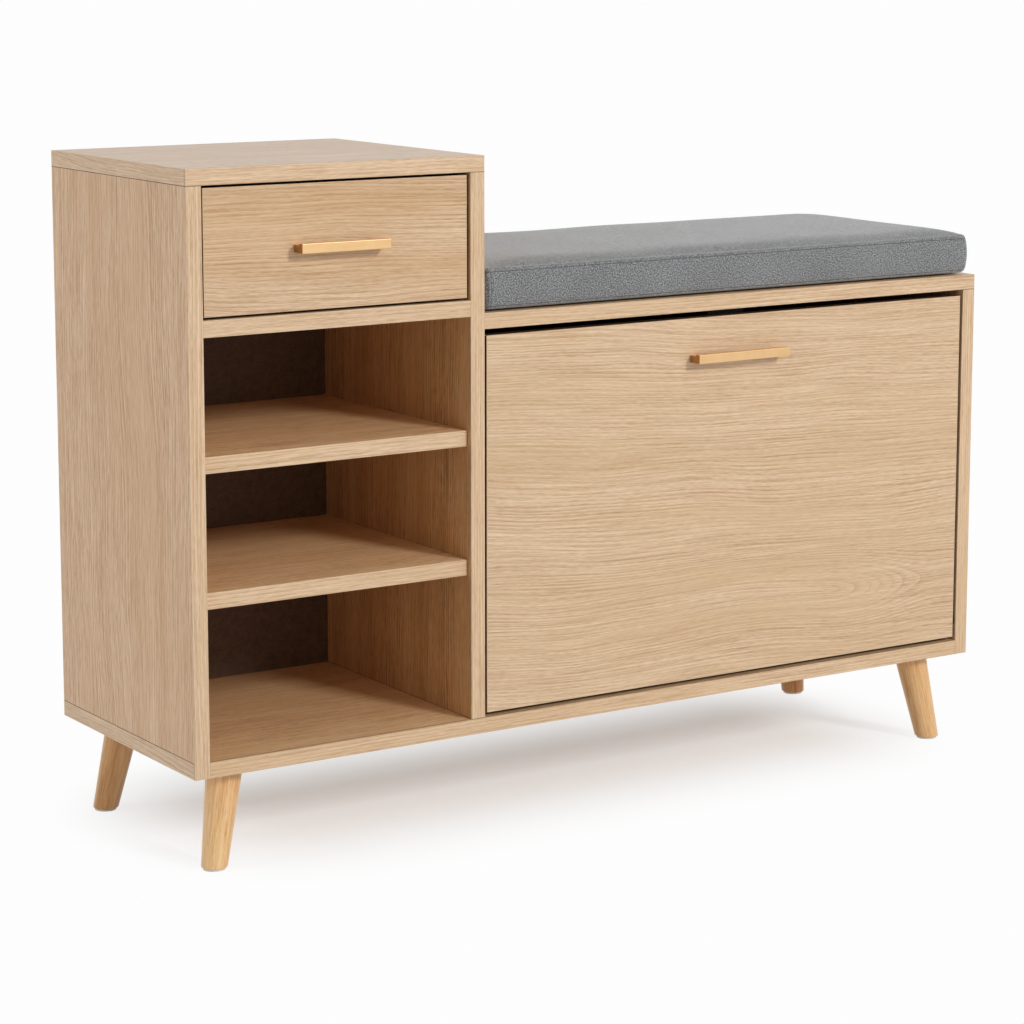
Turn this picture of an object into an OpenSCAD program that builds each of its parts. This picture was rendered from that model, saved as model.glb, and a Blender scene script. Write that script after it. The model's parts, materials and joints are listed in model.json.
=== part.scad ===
// Entryway bench: a tower with a drawer and open shelves beside a padded seat over a tilting shoe
// flap. X runs along the width, the front faces -Y, and z = 0 is the floor.

/* [Carcase] */
// Overall width across both side boards
body_w = 960; // [900:5:1060]
// Depth of the carcase from its front edges to its rear edges
body_d = 294; // [290:1:330]
// Height of the tower's top face above the floor
tower_h = 677; // [665:1:720]
// Height of the seat board's top face above the floor
seat_h = 522; // [518:1:560]
// Width of the tower, with its two upright boards
tower_w = 325; // [310:1:360]
// Thickness of every main board
board_t = 16; // [15:0.5:18]
// Thickness of the strips on the front edges
edging_t = 2; // [1:0.5:3]
// Thickness of the hardboard backs
back_t = 3; // [2.5:0.5:4]
// Width of the rebate that a back lies in
rebate_w = 6; // [5:0.5:6.5]

/* [Shelves] */
// Clear height of the drawer's bay
drawer_bay_h = 125.5; // [120:0.5:135]
// Clear height of the lowest open bay
lower_bay_h = 146; // [136:1:150]
// Clear height of the middle open bay
middle_bay_h = 114; // [104:1:118]
// Distance of the two loose shelves behind the front edges
shelf_setback = 6.5; // [4:0.5:12]
// Gap at each end of a loose shelf
shelf_gap = 0.5; // [0.3:0.1:1]
// Diameter of a shelf pin
shelf_pin_d = 5; // [4:0.5:6]
// Length of a shelf pin that stands out of the board
shelf_pin_out = 8; // [6:0.5:10]
// Distance of the shelf pins from the front and rear edges
shelf_pin_inset = 52; // [48:1:60]

/* [Legs] */
// Height of the carcase's underside above the floor
leg_h = 98; // [90:1:104]
// Diameter of a leg at its top
leg_top_d = 36; // [32:1:38]
// Diameter of a leg at its foot
leg_foot_d = 26; // [24:1:30]
// Distance from the carcase's side to the centre of a leg's top
leg_inset_x = 50; // [44:1:60]
// Distance from the carcase's front or rear to the centre of a leg's top
leg_inset_y = 37; // [34:1:45]
// Outward lean of a leg along the width, over its height
leg_splay_x = 18; // [10:1:22]
// Outward lean of a leg along the depth, over its height
leg_splay_y = 11; // [5:1:14]
// Thickness of the glide under a leg
glide_t = 2; // [1.5:0.5:4]
// Diameter of the glide
glide_d = 22; // [18:1:23]
// Diameter of the bolt that holds a leg
leg_bolt_d = 8; // [6:1:9]
// Outer diameter of the threaded insert in the bottom board
leg_insert_d = 12; // [11:0.5:14]

/* [Board fittings] */
// Diameter of a cam lock
cam_d = 15; // [13:0.5:16]
// Depth of a cam lock
cam_depth = 12; // [11:0.5:12.5]
// Distance of a cam lock's centre from the board's end
cam_dist = 24; // [20:1:26]
// Diameter of a cam bolt
cam_bolt_d = 6; // [5:0.5:7]
// Diameter of a dowel
dowel_d = 8; // [6:0.5:8]
// Length of a dowel in the end of a board
dowel_end_l = 20; // [16:1:24]
// Distance of the cam locks from the front and rear edges
cam_inset = 45; // [40:1:50]
// Distance from a cam bolt to its dowel
dowel_pitch = 32; // [25:1:36]
// Shank diameter of a wood screw
screw_d = 3.5; // [3:0.5:4]
// Head diameter of a wood screw
screw_head_d = 6.4; // [6:0.1:7]
// Length of a wood screw
screw_l = 13; // [11:1:14]
// Shank diameter of a back's screw
back_screw_d = 2.5; // [2:0.5:3]
// Head diameter of a back's screw
back_screw_head_d = 5; // [4:0.5:5]

/* [Drawer] */
// Gap all round the drawer front
drawer_gap = 2.5; // [2:0.5:4]
// Distance of the drawer front behind the front edges
drawer_setback = 2.7; // [0:0.1:4]
// Thickness of the drawer box's boards
box_t = 12; // [10:1:14]
// Height of the drawer box's sides
box_h = 85; // [75:1:95]
// Length of the drawer box behind the drawer front
box_l = 252; // [251:1:260]
// Height of the box's lower edge above the drawer front's lower edge
box_lift = 12; // [10:1:16]
// Thickness of the drawer's bottom
box_bottom_t = 4; // [3:0.5:5]
// Depth of the groove that holds the drawer's bottom
box_groove = 5; // [4:0.5:6]
// Height of the groove above the box's lower edge
box_groove_rise = 9; // [7:0.5:12]
// Travel of the drawer
drawer_travel = 180; // [150:5:185]

/* [Drawer slides] */
// Length of a slide
slide_l = 250; // [246:1:250]
// Height of a slide
slide_h = 35; // [32:1:38]
// Width that a slide fills beside the box
slide_w = 12.7; // [12:0.1:13.5]
// Thickness of the slide's steel
slide_t = 1.2; // [1:0.1:1.4]
// Distance of a slide behind the front edges
slide_setback = 20; // [19:1:24]
// Diameter of a slide's balls
ball_d = 4; // [3:0.5:4.5]
// Running gap between balls, cage and steel
ball_play = 0.3; // [0.25:0.05:0.35]
// Number of balls in a row
ball_count = 5; // [3:1:6]
// Length of a ball cage
cage_l = 60; // [56:1:62]

/* [Handles] */
// Length of the drawer's handle
drawer_handle_l = 97; // [80:1:128]
// Length of the flap's handle
flap_handle_l = 117; // [96:1:160]
// Height of a handle's bar
handle_h = 9.5; // [8:0.5:12]
// Thickness of a handle's bar
handle_t = 7; // [5:0.5:8]
// Width of a handle's post along the bar
handle_post_w = 9; // [8:0.5:14]
// Distance that a handle stands out
handle_out = 17; // [16:0.5:30]
// Diameter of a handle's screw
handle_screw_d = 4; // [3:0.5:5]
// Distance of the flap handle's centre below the flap's top edge
flap_handle_drop = 41; // [30:1:60]

/* [Flap] */
// Gap at each end of the flap
flap_gap = 3; // [2.5:0.1:4]
// Gap above the flap
flap_top_gap = 6.5; // [4:0.5:8]
// Gap below the flap
flap_bottom_gap = 4; // [3.5:0.5:6]
// Distance of the flap behind the front edges
flap_setback = 1; // [0.5:0.1:1.5]
// Height of the pivot above the flap's lower edge
pivot_rise = 18; // [16:1:22]
// Diameter of a pivot pin
pivot_d = 6; // [5:0.5:6]
// Length of a pivot pin inside the flap
pivot_in = 20; // [15:1:30]
// Running gap round a pivot pin
pivot_play = 0.05; // [0.03:0.01:0.08]
// Outer diameter of a pivot bush
bush_d = 10; // [8:0.5:10]
// Thickness of a pivot bush's flange
bush_flange_t = 1.5; // [1:0.1:1.5]
// Opening angle of the flap
flap_open = 45; // [35:1:45]

/* [Shoe rack] */
// Gap between the rack and the upright board beside it
rack_gap = 15; // [14:1:20]
// Thickness of the rack's side plates
rack_t = 3; // [2.5:0.5:4]
// Height of a side plate above the pivot
rack_h = 330; // [310:1:335]
// Depth of a side plate behind the pivot
rack_d = 255; // [252:1:258]
// Depth of a side plate at its top
rack_top_d = 120; // [90:1:125]
// Height of a side plate's rear edge above the pivot
rack_rear_h = 190; // [180:1:210]
// Drop of a side plate's lower edge below the pivot
rack_drop = 12; // [8:1:14]
// Slope of the rack's shelves, down towards the rear
rack_slope = 30; // [29:0.5:32]
// Height of the lower rack shelf's front edge above the pivot
lower_rack_z = 140; // [138:1:150]
// Height of the upper rack shelf's front edge above the pivot
upper_rack_z = 260; // [255:1:275]
// Height of the lip at the rear of a rack shelf
rack_lip = 12; // [8:1:16]
// Diameter of a rack rail
rail_d = 8; // [6:0.5:10]
// Height of a rail above its shelf's rear edge
rail_rise = 45; // [35:1:55]
// Radius of the arc that a stop stud runs along
stop_r = 150; // [140:1:160]
// Angle of a stop stud above the horizontal through the pivot
stop_angle = 60; // [58:1:65]
// Diameter of a stop stud
stop_d = 8; // [6:0.5:9]

/* [Catch] */
// Length of the magnetic catch
catch_l = 46; // [40:1:60]
// Depth of the magnetic catch
catch_d = 14; // [12:1:18]
// Height of the magnetic catch
catch_h = 22; // [20:1:26]
// Thickness of the strike plate
strike_t = 1.5; // [1.3:0.1:2]
// Gap between the catch and its strike plate
catch_gap = 0.3; // [0.2:0.1:0.5]

/* [Cushion] */
// Height of the cushion
cushion_h = 44.5; // [35:0.5:60]
// Gap between the cushion and the tower
cushion_side_gap = 1; // [1:0.5:3]
// Distance of the cushion behind the seat's front edge
cushion_front = 3; // [1:0.5:10]
// Distance of the cushion from the seat's right edge
cushion_right = 3.5; // [3:0.5:15]
// Distance of the cushion from the seat's rear edge
cushion_rear = 6; // [3:0.5:15]
// Radius of the cushion's upper and lower rims
cushion_round = 6; // [4:0.5:7]
// Radius of the cushion's two corners beside the tower
cushion_left_r = 8; // [8:1:15]
// Radius of the cushion's front right corner
cushion_front_r = 10; // [8:1:30]
// Radius of the cushion's rear right corner
cushion_rear_r = 50; // [20:1:70]
// Thickness of the fixing pads under the cushion
pad_t = 1.5; // [1:0.5:2.5]
// Length of a fixing pad
pad_l = 60; // [40:1:80]
// Width of a fixing pad
pad_w = 20; // [15:1:30]
// Distance of the fixing pads from the cushion's sides
pad_inset = 40; // [25:1:60]

/* [Hidden] */
// What sticks out in front of the carcase, and the front and rear planes that centre the whole bench
front_reach = handle_out - min(flap_setback, drawer_setback);
front_y = (front_reach - body_d) / 2;
rear_y = front_y + body_d;

// Planes of the boards
left_x = -body_w / 2;
right_x = body_w / 2;
tower_in_l = left_x + board_t;
tower_in_r = left_x + tower_w - board_t;
seat_in_l = left_x + tower_w;
seat_in_r = right_x - board_t;
base_top = leg_h + board_t;
tower_under = tower_h - board_t;
seat_under = seat_h - board_t;
fixed_shelf_z = tower_under - drawer_bay_h - board_t;
lower_shelf_z = base_top + lower_bay_h;
upper_shelf_z = lower_shelf_z + board_t + middle_bay_h;
board_front = front_y + edging_t;
back_face = rear_y - back_t;

// Common fits: round a fastener, past an end, under what lies on a pin, and beside what moves
screw_play = 0.1;
end_play = 1;
loose_play = 0.2;
moving_gap = 0.4;
// How deep a fitting goes into a board's face, so that two can meet back to back
face_depth = board_t / 2 - 0.5;
screw_head_t = slide_t;
// Distances of the drawer box's screws from its edges, and share of a width at which a pair sits
box_screw_inset = 8;
front_screw_inset = 14;
pair_share = 0.36;
$fn = 48;

// Drawer
drawer_x0 = tower_in_l + drawer_gap;
drawer_x1 = tower_in_r - drawer_gap;
drawer_z0 = fixed_shelf_z + board_t + drawer_gap;
drawer_z1 = tower_under - drawer_gap;
drawer_y0 = front_y + drawer_setback;
box_y0 = drawer_y0 + board_t;
box_y1 = box_y0 + box_l;
box_x0 = tower_in_l + slide_w;
box_x1 = tower_in_r - slide_w;
box_z0 = drawer_z0 + box_lift;
box_z1 = box_z0 + box_h;
box_bottom_z = box_z0 + box_groove_rise;
slide_z = (box_z0 + box_z1) / 2;
slide_y0 = front_y + slide_setback;
tower_mid = (tower_in_l + tower_in_r) / 2;
tower_bay_w = tower_in_r - tower_in_l;
// The cage rides half as far as the drawer and stays between both members
cage_front_gap = 4;
cage_y0 = slide_y0 + drawer_travel / 2 + cage_front_gap;
slide_screw_shares = [0.12, 0.5, 0.88];
slide_screw_ys = [for (share = slide_screw_shares) slide_y0 + slide_l * share];
slide_screw_grip = box_t * 0.75;

// Flap and its rack, measured from the pivot
flap_x0 = seat_in_l + flap_gap;
flap_x1 = seat_in_r - flap_gap;
flap_z0 = base_top + flap_bottom_gap;
flap_z1 = seat_under - flap_top_gap;
flap_y0 = front_y + flap_setback;
flap_back = flap_y0 + board_t;
flap_mid = (flap_x0 + flap_x1) / 2;
pivot_y = flap_y0 + board_t / 2;
pivot_z = flap_z0 + pivot_rise;
seat_bay_w = seat_in_r - seat_in_l;
rack_front = board_t / 2;
rack_inner_w = seat_bay_w - 2 * (rack_gap + rack_t);
rack_flange_w = 11;
rack_screw_shares = [0.06, 0.34, 0.62, 0.9];
rack_screw_zs = [for (share = rack_screw_shares) rack_h * share];
rack_shelf_inset = 8;
rail_inset = 12;
rack_shelf_d = rack_d - rack_shelf_inset;
rail_y = rack_d - rail_inset;
slot_play = 0.5;
bush_flange_w = 2;

// Height of a rack shelf's top face at a depth behind the pivot
function rack_shelf_z(front_z, depth) = front_z - (depth - rack_front) * tan(rack_slope);

// Catch
catch_y0 = flap_back + strike_t + catch_gap;
strike_margin = 1;
strike_h = catch_h - flap_top_gap - 2 * strike_margin;
strike_z0 = seat_under - catch_h + strike_margin;

// Cushion
cushion_x0 = seat_in_l + cushion_side_gap;
cushion_x1 = right_x - cushion_right;
cushion_y0 = front_y + cushion_front;
cushion_y1 = rear_y - cushion_rear;
// Each corner: X and Y of its centre, and its radius
CUSHION_CORNERS = [
    [cushion_x0 + cushion_left_r, cushion_y0 + cushion_left_r, cushion_left_r],
    [cushion_x1 - cushion_front_r, cushion_y0 + cushion_front_r, cushion_front_r],
    [cushion_x1 - cushion_rear_r, cushion_y1 - cushion_rear_r, cushion_rear_r],
    [cushion_x0 + cushion_left_r, cushion_y1 - cushion_left_r, cushion_left_r]
];

oak = [0.83, 0.71, 0.56];
oak_dark = [0.72, 0.58, 0.43];
beech = [0.82, 0.64, 0.42];
brass = [0.86, 0.70, 0.45];
steel = [0.72, 0.73, 0.75];
zinc = [0.62, 0.63, 0.65];
nylon = [0.90, 0.89, 0.85];
plastic = [0.25, 0.25, 0.26];
cloth = [0.52, 0.53, 0.55];

// ---- Shared shapes ----

// A block between two opposite corners
module block(low, high) {
    translate(low) cube(high - low);
}

// A stepped round piece along -Z whose head's top face lies at z = 0
module screw(length, shank_d = screw_d, head_d = screw_head_d, play = 0) {
    translate([0, 0, -screw_head_t]) cylinder(h = screw_head_t, d = head_d + 2 * play);
    translate([0, 0, -length - play]) cylinder(h = length + play - screw_head_t / 2, d = shank_d + 2 * play);
}

// Turns what points along -Z towards the left, right, front, rear or top
module toward_left() { rotate([0, 90, 0]) children(); }
module toward_right() { rotate([0, -90, 0]) children(); }
module toward_front() { rotate([-90, 0, 0]) children(); }
module toward_top() { rotate([180, 0, 0]) children(); }

// Lays a YZ outline out along X
module along_x(length) {
    rotate([90, 0, 90]) linear_extrude(height = length) children();
}

// Places what is drawn from the left board's inner face, in the tower's bay, at both sides or one
module tower_side(right) {
    translate([tower_mid, 0, 0]) mirror([right ? 1 : 0, 0, 0]) translate([-tower_bay_w / 2, 0, 0]) children();
}

// The same in the seat's bay
module seat_side(right) {
    middle = (seat_in_l + seat_in_r) / 2;
    translate([middle, 0, 0]) mirror([right ? 1 : 0, 0, 0]) translate([-seat_bay_w / 2, 0, 0]) children();
}

// ---- Fittings at the board joints ----

// Each joint: X and Z of its plane at mid-board, turn of the bolt from +Z about Y, side that the cam opens
JOINTS = [
    [left_x + board_t / 2, tower_under, 180, -1],
    [seat_in_l - board_t / 2, tower_under, 180, 1],
    [left_x + board_t / 2, base_top, 0, 1],
    [seat_in_l - board_t / 2, base_top, 0, 1],
    [right_x - board_t / 2, base_top, 0, -1],
    [right_x - board_t / 2, seat_under, 180, 1],
    [seat_in_l, seat_h - board_t / 2, 90, 1],
    [tower_in_l, fixed_shelf_z + board_t / 2, 90, 1],
    [tower_in_r, fixed_shelf_z + board_t / 2, -90, -1]
];
// Front and rear set of each joint: place along Y, and the way to its dowel
FITTING_ROWS = [[front_y + cam_inset, 1], [rear_y - cam_inset, -1]];

module at_joints(chosen) {
    for (index = chosen, row = FITTING_ROWS)
        translate([JOINTS[index][0], row[0], JOINTS[index][1]])
            rotate([0, JOINTS[index][2], 0])
                mirror([JOINTS[index][3] < 0 ? 1 : 0, 0, 0])
                    mirror([0, row[1] < 0 ? 1 : 0, 0])
                        children();
}

module cam_disc(play = 0) {
    translate([board_t / 2 - cam_depth - play, 0, cam_dist])
        rotate([0, 90, 0])
            cylinder(h = cam_depth + 2 * play, d = cam_d + 2 * play);
}

module cam_shank(play = 0) {
    translate([0, 0, -face_depth - play])
        cylinder(h = face_depth + cam_dist + play, d = cam_bolt_d + 2 * play);
}

module dowel_pin(play = 0) {
    translate([0, dowel_pitch, -face_depth - play])
        cylinder(h = face_depth + dowel_end_l + 2 * play, d = dowel_d + 2 * play);
}

// Holes that the fittings of the chosen joints need
module joint_holes(chosen) {
    at_joints(chosen) {
        cam_disc(screw_play);
        cam_shank(screw_play);
        dowel_pin(screw_play);
    }
}

module cam_locks() {
    color(zinc)
        at_joints([for (index = [0 : len(JOINTS) - 1]) index])
            difference() {
                cam_disc();
                cam_shank(screw_play);
            }
}

module cam_bolts() {
    color(zinc) at_joints([for (index = [0 : len(JOINTS) - 1]) index]) cam_shank();
}

module dowels() {
    color(beech) at_joints([for (index = [0 : len(JOINTS) - 1]) index]) dowel_pin();
}

// ---- Backs ----

module tower_back_block(extra = 0) {
    block(
        [tower_in_l - rebate_w, back_face, base_top - rebate_w],
        [tower_in_r + rebate_w, rear_y + extra, tower_under + rebate_w]
    );
}

module bench_back_block(extra = 0) {
    block(
        [seat_in_l - rebate_w, back_face, base_top - rebate_w],
        [seat_in_r + rebate_w, rear_y + extra, seat_under + rebate_w]
    );
}

// Rows of screws round both backs, in the middle of the rebates
BACK_ROWS = [
    [[tower_in_l, base_top], [tower_in_l, tower_under], 5],
    [[tower_in_r, base_top], [tower_in_r, tower_under], 5],
    [[tower_in_l, base_top], [tower_in_r, base_top], 3],
    [[tower_in_l, tower_under], [tower_in_r, tower_under], 3],
    [[seat_in_l, base_top], [seat_in_l, seat_under], 4],
    [[seat_in_r, base_top], [seat_in_r, seat_under], 4],
    [[seat_in_l, base_top], [seat_in_r, base_top], 5],
    [[seat_in_l, seat_under], [seat_in_r, seat_under], 5]
];

// Way from a bay's edge into the board round it: 1 or -1 along X and Z for a row
function row_way(row) = row < 4
    ? [[-1, 0], [1, 0], [0, -1], [0, 1]][row]
    : [[-1, 0], [1, 0], [0, -1], [0, 1]][row - 4];

module back_screw_set(play = 0) {
    for (row = [0 : len(BACK_ROWS) - 1]) {
        start = BACK_ROWS[row][0];
        stop = BACK_ROWS[row][1];
        count = BACK_ROWS[row][2];
        way = row_way(row) * rebate_w / 2;
        for (number = [0 : count - 1]) {
            share = (number + 0.5) / count;
            place = start + (stop - start) * share + way;
            translate([place[0], rear_y, place[1]])
                toward_front() screw(screw_l, back_screw_d, back_screw_head_d, play);
        }
    }
}

module back_screws() {
    color(zinc) back_screw_set();
}

module tower_back() {
    color(oak_dark) difference() {
        tower_back_block();
        back_screw_set(screw_play);
    }
}

module bench_back() {
    color(oak_dark) difference() {
        bench_back_block();
        back_screw_set(screw_play);
    }
}

module back_cuts() {
    tower_back_block(1);
    bench_back_block(1);
    back_screw_set(screw_play);
}

// ---- Boards ----

module tower_top() {
    color(oak) difference() {
        block([left_x, board_front, tower_under], [seat_in_l, rear_y, tower_h]);
        joint_holes([0, 1]);
        back_cuts();
    }
}

module left_side() {
    color(oak) difference() {
        block([left_x, board_front, base_top], [tower_in_l, rear_y, tower_under]);
        joint_holes([0, 2, 7]);
        back_cuts();
        shelf_pin_set(screw_play);
        cabinet_screw_set(screw_play);
    }
}

module right_side() {
    color(oak) difference() {
        block([seat_in_r, board_front, base_top], [right_x, rear_y, seat_under]);
        joint_holes([4, 5]);
        back_cuts();
        bush_set(screw_play);
        stop_stud_set(screw_play);
    }
}

module divider() {
    color(oak) difference() {
        block([tower_in_r, board_front, base_top], [seat_in_l, rear_y, tower_under]);
        joint_holes([1, 3, 6, 8]);
        back_cuts();
        shelf_pin_set(screw_play);
        cabinet_screw_set(screw_play);
        bush_set(screw_play);
        stop_stud_set(screw_play);
    }
}

module bottom_board() {
    color(oak) difference() {
        block([left_x, board_front, leg_h], [right_x, rear_y, base_top]);
        joint_holes([2, 3, 4]);
        back_cuts();
        leg_holes();
    }
}

module seat_board() {
    color(oak) difference() {
        block([seat_in_l, board_front, seat_under], [right_x, rear_y, seat_h]);
        joint_holes([5, 6]);
        back_cuts();
        catch_screw_set(screw_play);
    }
}

module fixed_shelf() {
    color(oak) difference() {
        block(
            [tower_in_l, board_front, fixed_shelf_z],
            [tower_in_r, back_face, fixed_shelf_z + board_t]
        );
        joint_holes([7, 8]);
    }
}

// A loose shelf, behind its edging strip
module loose_shelf(z) {
    color(oak) block(
        [tower_in_l + shelf_gap, board_front + shelf_setback, z],
        [tower_in_r - shelf_gap, back_face - end_play, z + board_t]
    );
}

module lower_shelf() { loose_shelf(lower_shelf_z); }
module upper_shelf() { loose_shelf(upper_shelf_z); }

// ---- Edging strips ----

module edging_strip(x0, z0, x1, z1, setback = 0) {
    block([x0, front_y + setback, z0], [x1, board_front + setback, z1]);
}

module upright_edging() {
    color(oak) {
        edging_strip(left_x, leg_h, tower_in_l, tower_under);
        edging_strip(tower_in_r, base_top, seat_in_l, tower_under);
        edging_strip(seat_in_r, leg_h, right_x, seat_under);
    }
}

module level_edging() {
    color(oak) {
        edging_strip(left_x, tower_under, seat_in_l, tower_h);
        edging_strip(seat_in_l, seat_under, right_x, seat_h);
        edging_strip(tower_in_l, leg_h, seat_in_r, base_top);
        edging_strip(tower_in_l, fixed_shelf_z, tower_in_r, fixed_shelf_z + board_t);
    }
}

module shelf_edging() {
    color(oak)
        for (z = [lower_shelf_z, upper_shelf_z])
            edging_strip(tower_in_l + shelf_gap, z, tower_in_r - shelf_gap, z + board_t, shelf_setback);
}

// ---- Shelf pins ----

module shelf_pin_set(play = 0) {
    for (right = [false, true], y = [front_y + shelf_pin_inset, rear_y - shelf_pin_inset],
         z = [lower_shelf_z, upper_shelf_z])
        tower_side(right)
            translate([-face_depth - play, y, z - shelf_pin_d / 2 - loose_play])
                rotate([0, 90, 0])
                    cylinder(h = face_depth + shelf_pin_out + play, d = shelf_pin_d + 2 * play);
}

module shelf_pins() {
    color(steel) shelf_pin_set();
}

// ---- Legs ----

leg_lean = atan2(norm([leg_splay_x, leg_splay_y]), leg_h);
leg_l = leg_h / cos(leg_lean);
leg_taper = (leg_top_d - leg_foot_d) / leg_l;
leg_bolt_skin = 3;
leg_bolt_up = board_t - leg_bolt_skin;
leg_bolt_down = 30;

// Draws a leg's own parts along +Z from the centre of its top towards its foot
module at_leg(right, rear) {
    way_x = right ? 1 : -1;
    way_y = rear ? 1 : -1;
    translate([
        way_x * (body_w / 2 - leg_inset_x),
        (front_y + rear_y) / 2 + way_y * (body_d / 2 - leg_inset_y),
        leg_h
    ])
        rotate([0, 0, atan2(way_y * leg_splay_y, way_x * leg_splay_x)])
            rotate([0, 180 - leg_lean, 0])
                children();
}

module at_every_leg() {
    for (right = [false, true], rear = [false, true])
        at_leg(right, rear) children();
}

// The stretch of height between the glides and the bottom board
module leg_zone(low, high) {
    block([left_x, front_y - leg_splay_y, low], [right_x, rear_y + leg_splay_y, high]);
}

module leg_bolt_shank(play = 0) {
    translate([0, 0, -leg_bolt_up - play])
        cylinder(h = leg_bolt_up + leg_bolt_down + 2 * play, d = leg_bolt_d + 2 * play);
}

module leg(right, rear) {
    margin = leg_top_d / 2;
    color(beech) difference() {
        intersection() {
            at_leg(right, rear)
                translate([0, 0, -margin])
                    cylinder(
                        h = leg_l + 2 * margin,
                        d1 = leg_top_d + margin * leg_taper,
                        d2 = leg_foot_d - margin * leg_taper
                    );
            leg_zone(glide_t, leg_h);
        }
        at_leg(right, rear) leg_bolt_shank(screw_play);
    }
}

module front_left_leg() { leg(false, false); }
module front_right_leg() { leg(true, false); }
module rear_left_leg() { leg(false, true); }
module rear_right_leg() { leg(true, true); }

module leg_bolts() {
    color(zinc) at_every_leg() leg_bolt_shank();
}

// Sleeve round a leg bolt, from its upper end to past the board's underside
module insert_sleeve(play = 0) {
    translate([0, 0, -leg_bolt_up]) cylinder(h = leg_bolt_up + leg_insert_d, d = leg_insert_d + 2 * play);
}

module leg_inserts() {
    color(zinc) difference() {
        intersection() {
            at_every_leg() insert_sleeve();
            leg_zone(leg_h, base_top);
        }
        at_every_leg() leg_bolt_shank(screw_play);
    }
}

module leg_holes() {
    at_every_leg() insert_sleeve(screw_play);
    at_every_leg() leg_bolt_shank(screw_play);
}

module foot_glides() {
    color(nylon)
        for (way_x = [-1, 1], way_y = [-1, 1])
            translate([
                way_x * (body_w / 2 - leg_inset_x + leg_splay_x),
                (front_y + rear_y) / 2 + way_y * (body_d / 2 - leg_inset_y + leg_splay_y),
                0
            ])
                cylinder(h = glide_t, d = glide_d);
}

// ---- Drawer slides, drawn from the left board's inner face ----

// Half height of the drawer member, which leaves room for the balls above and below
member_half = slide_h / 2 - slide_t - ball_d - 2 * ball_play;
ball_z = slide_h / 2 - slide_t - ball_play - ball_d / 2;
member_x0 = slide_t + 3 * ball_play + slide_t / 2;
cage_t = slide_t / 2;
cage_x0 = slide_t + ball_play;
ball_x = slide_w / 2;

module cabinet_screw_set(play = 0) {
    for (right = [false, true], y = slide_screw_ys)
        tower_side(right)
            translate([slide_t, y, slide_z])
                toward_left() screw(face_depth + slide_t, play = play);
}

module cabinet_slide(right) {
    color(steel) difference() {
        tower_side(right) translate([0, slide_y0, slide_z - slide_h / 2]) difference() {
            cube([slide_w - 2 * ball_play - slide_t, slide_l, slide_h]);
            translate([slide_t, -1, slide_t]) cube([slide_w, slide_l + 2, slide_h - 2 * slide_t]);
        }
        cabinet_screw_set(screw_play);
    }
}

module left_cabinet_slide() { cabinet_slide(false); }
module right_cabinet_slide() { cabinet_slide(true); }

module cabinet_slide_screws() {
    color(zinc) cabinet_screw_set();
}

module member_screw_set(play = 0) {
    for (right = [false, true], y = slide_screw_ys)
        tower_side(right)
            translate([slide_w - slide_t, y, slide_z])
                toward_right() screw(slide_screw_grip, play = play);
}

module drawer_slide(right) {
    color(steel) difference() {
        tower_side(right) translate([member_x0, slide_y0, slide_z - member_half]) difference() {
            cube([slide_w - member_x0, slide_l, 2 * member_half]);
            translate([-slide_t, -1, slide_t])
                cube([slide_w - member_x0, slide_l + 2, 2 * (member_half - slide_t)]);
        }
        member_screw_set(screw_play);
    }
}

module left_drawer_slide() { drawer_slide(false); }
module right_drawer_slide() { drawer_slide(true); }

module drawer_slide_screws() {
    color(zinc) member_screw_set();
}

// Places a ball, or its hole, at each seat of both cages
module at_ball_seats() {
    pitch = cage_l / ball_count;
    for (right = [false, true], way = [-1, 1], number = [0 : ball_count - 1])
        tower_side(right)
            translate([ball_x, cage_y0 + (number + 0.5) * pitch, slide_z + way * ball_z])
                children();
}

module slide_balls() {
    color(steel) at_ball_seats() sphere(d = ball_d);
}

module ball_cages() {
    half = ball_z + cage_t / 2;
    color(zinc) difference() {
        for (right = [false, true])
            tower_side(right) translate([cage_x0, cage_y0, slide_z - half]) difference() {
                cube([ball_x + ball_d / 2 + ball_play + cage_t - cage_x0, cage_l, 2 * half]);
                translate([cage_t, -1, cage_t]) cube([slide_w, cage_l + 2, 2 * (half - cage_t)]);
            }
        at_ball_seats() translate([0, 0, -cage_t]) cylinder(h = 2 * cage_t, d = ball_d + 2 * screw_play);
    }
}

// ---- Handles ----

// A square bar on two end posts, centred on X and Z, with its back at y = 0
module bar_handle(length) {
    color(brass) difference() {
        translate([-length / 2, -handle_out, -handle_h / 2]) cube([length, handle_out, handle_h]);
        translate([handle_post_w - length / 2, handle_t - handle_out, -handle_h])
            cube([length - 2 * handle_post_w, handle_out, 2 * handle_h]);
        handle_screw_pair(length, screw_play);
    }
}

// Both screws of a handle, drawn from the handle's back
handle_screw_in = handle_out - handle_t;
handle_head_h = 2.2;
module handle_screw_pair(length, play = 0, grip = 0) {
    for (way = [-1, 1])
        translate([way * (length - handle_post_w) / 2, grip, 0])
            toward_front() {
                cylinder(h = handle_head_h, d = 2 * handle_screw_d);
                translate([0, 0, -grip - handle_screw_in - play])
                    cylinder(h = grip + handle_screw_in + play, d = handle_screw_d + 2 * play);
            }
}

module at_drawer_handle() {
    translate([tower_mid, drawer_y0, (drawer_z0 + drawer_z1) / 2]) children();
}

module at_flap_handle() {
    translate([flap_mid, flap_y0, flap_z1 - flap_handle_drop]) children();
}

drawer_grip = board_t + box_t;

module drawer_handle() { at_drawer_handle() bar_handle(drawer_handle_l); }
module flap_handle() { at_flap_handle() bar_handle(flap_handle_l); }

module drawer_handle_screws() {
    color(zinc) at_drawer_handle() handle_screw_pair(drawer_handle_l, grip = drawer_grip);
}

module flap_handle_screws() {
    color(zinc) at_flap_handle() handle_screw_pair(flap_handle_l, grip = board_t);
}

// ---- Drawer box ----

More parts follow.
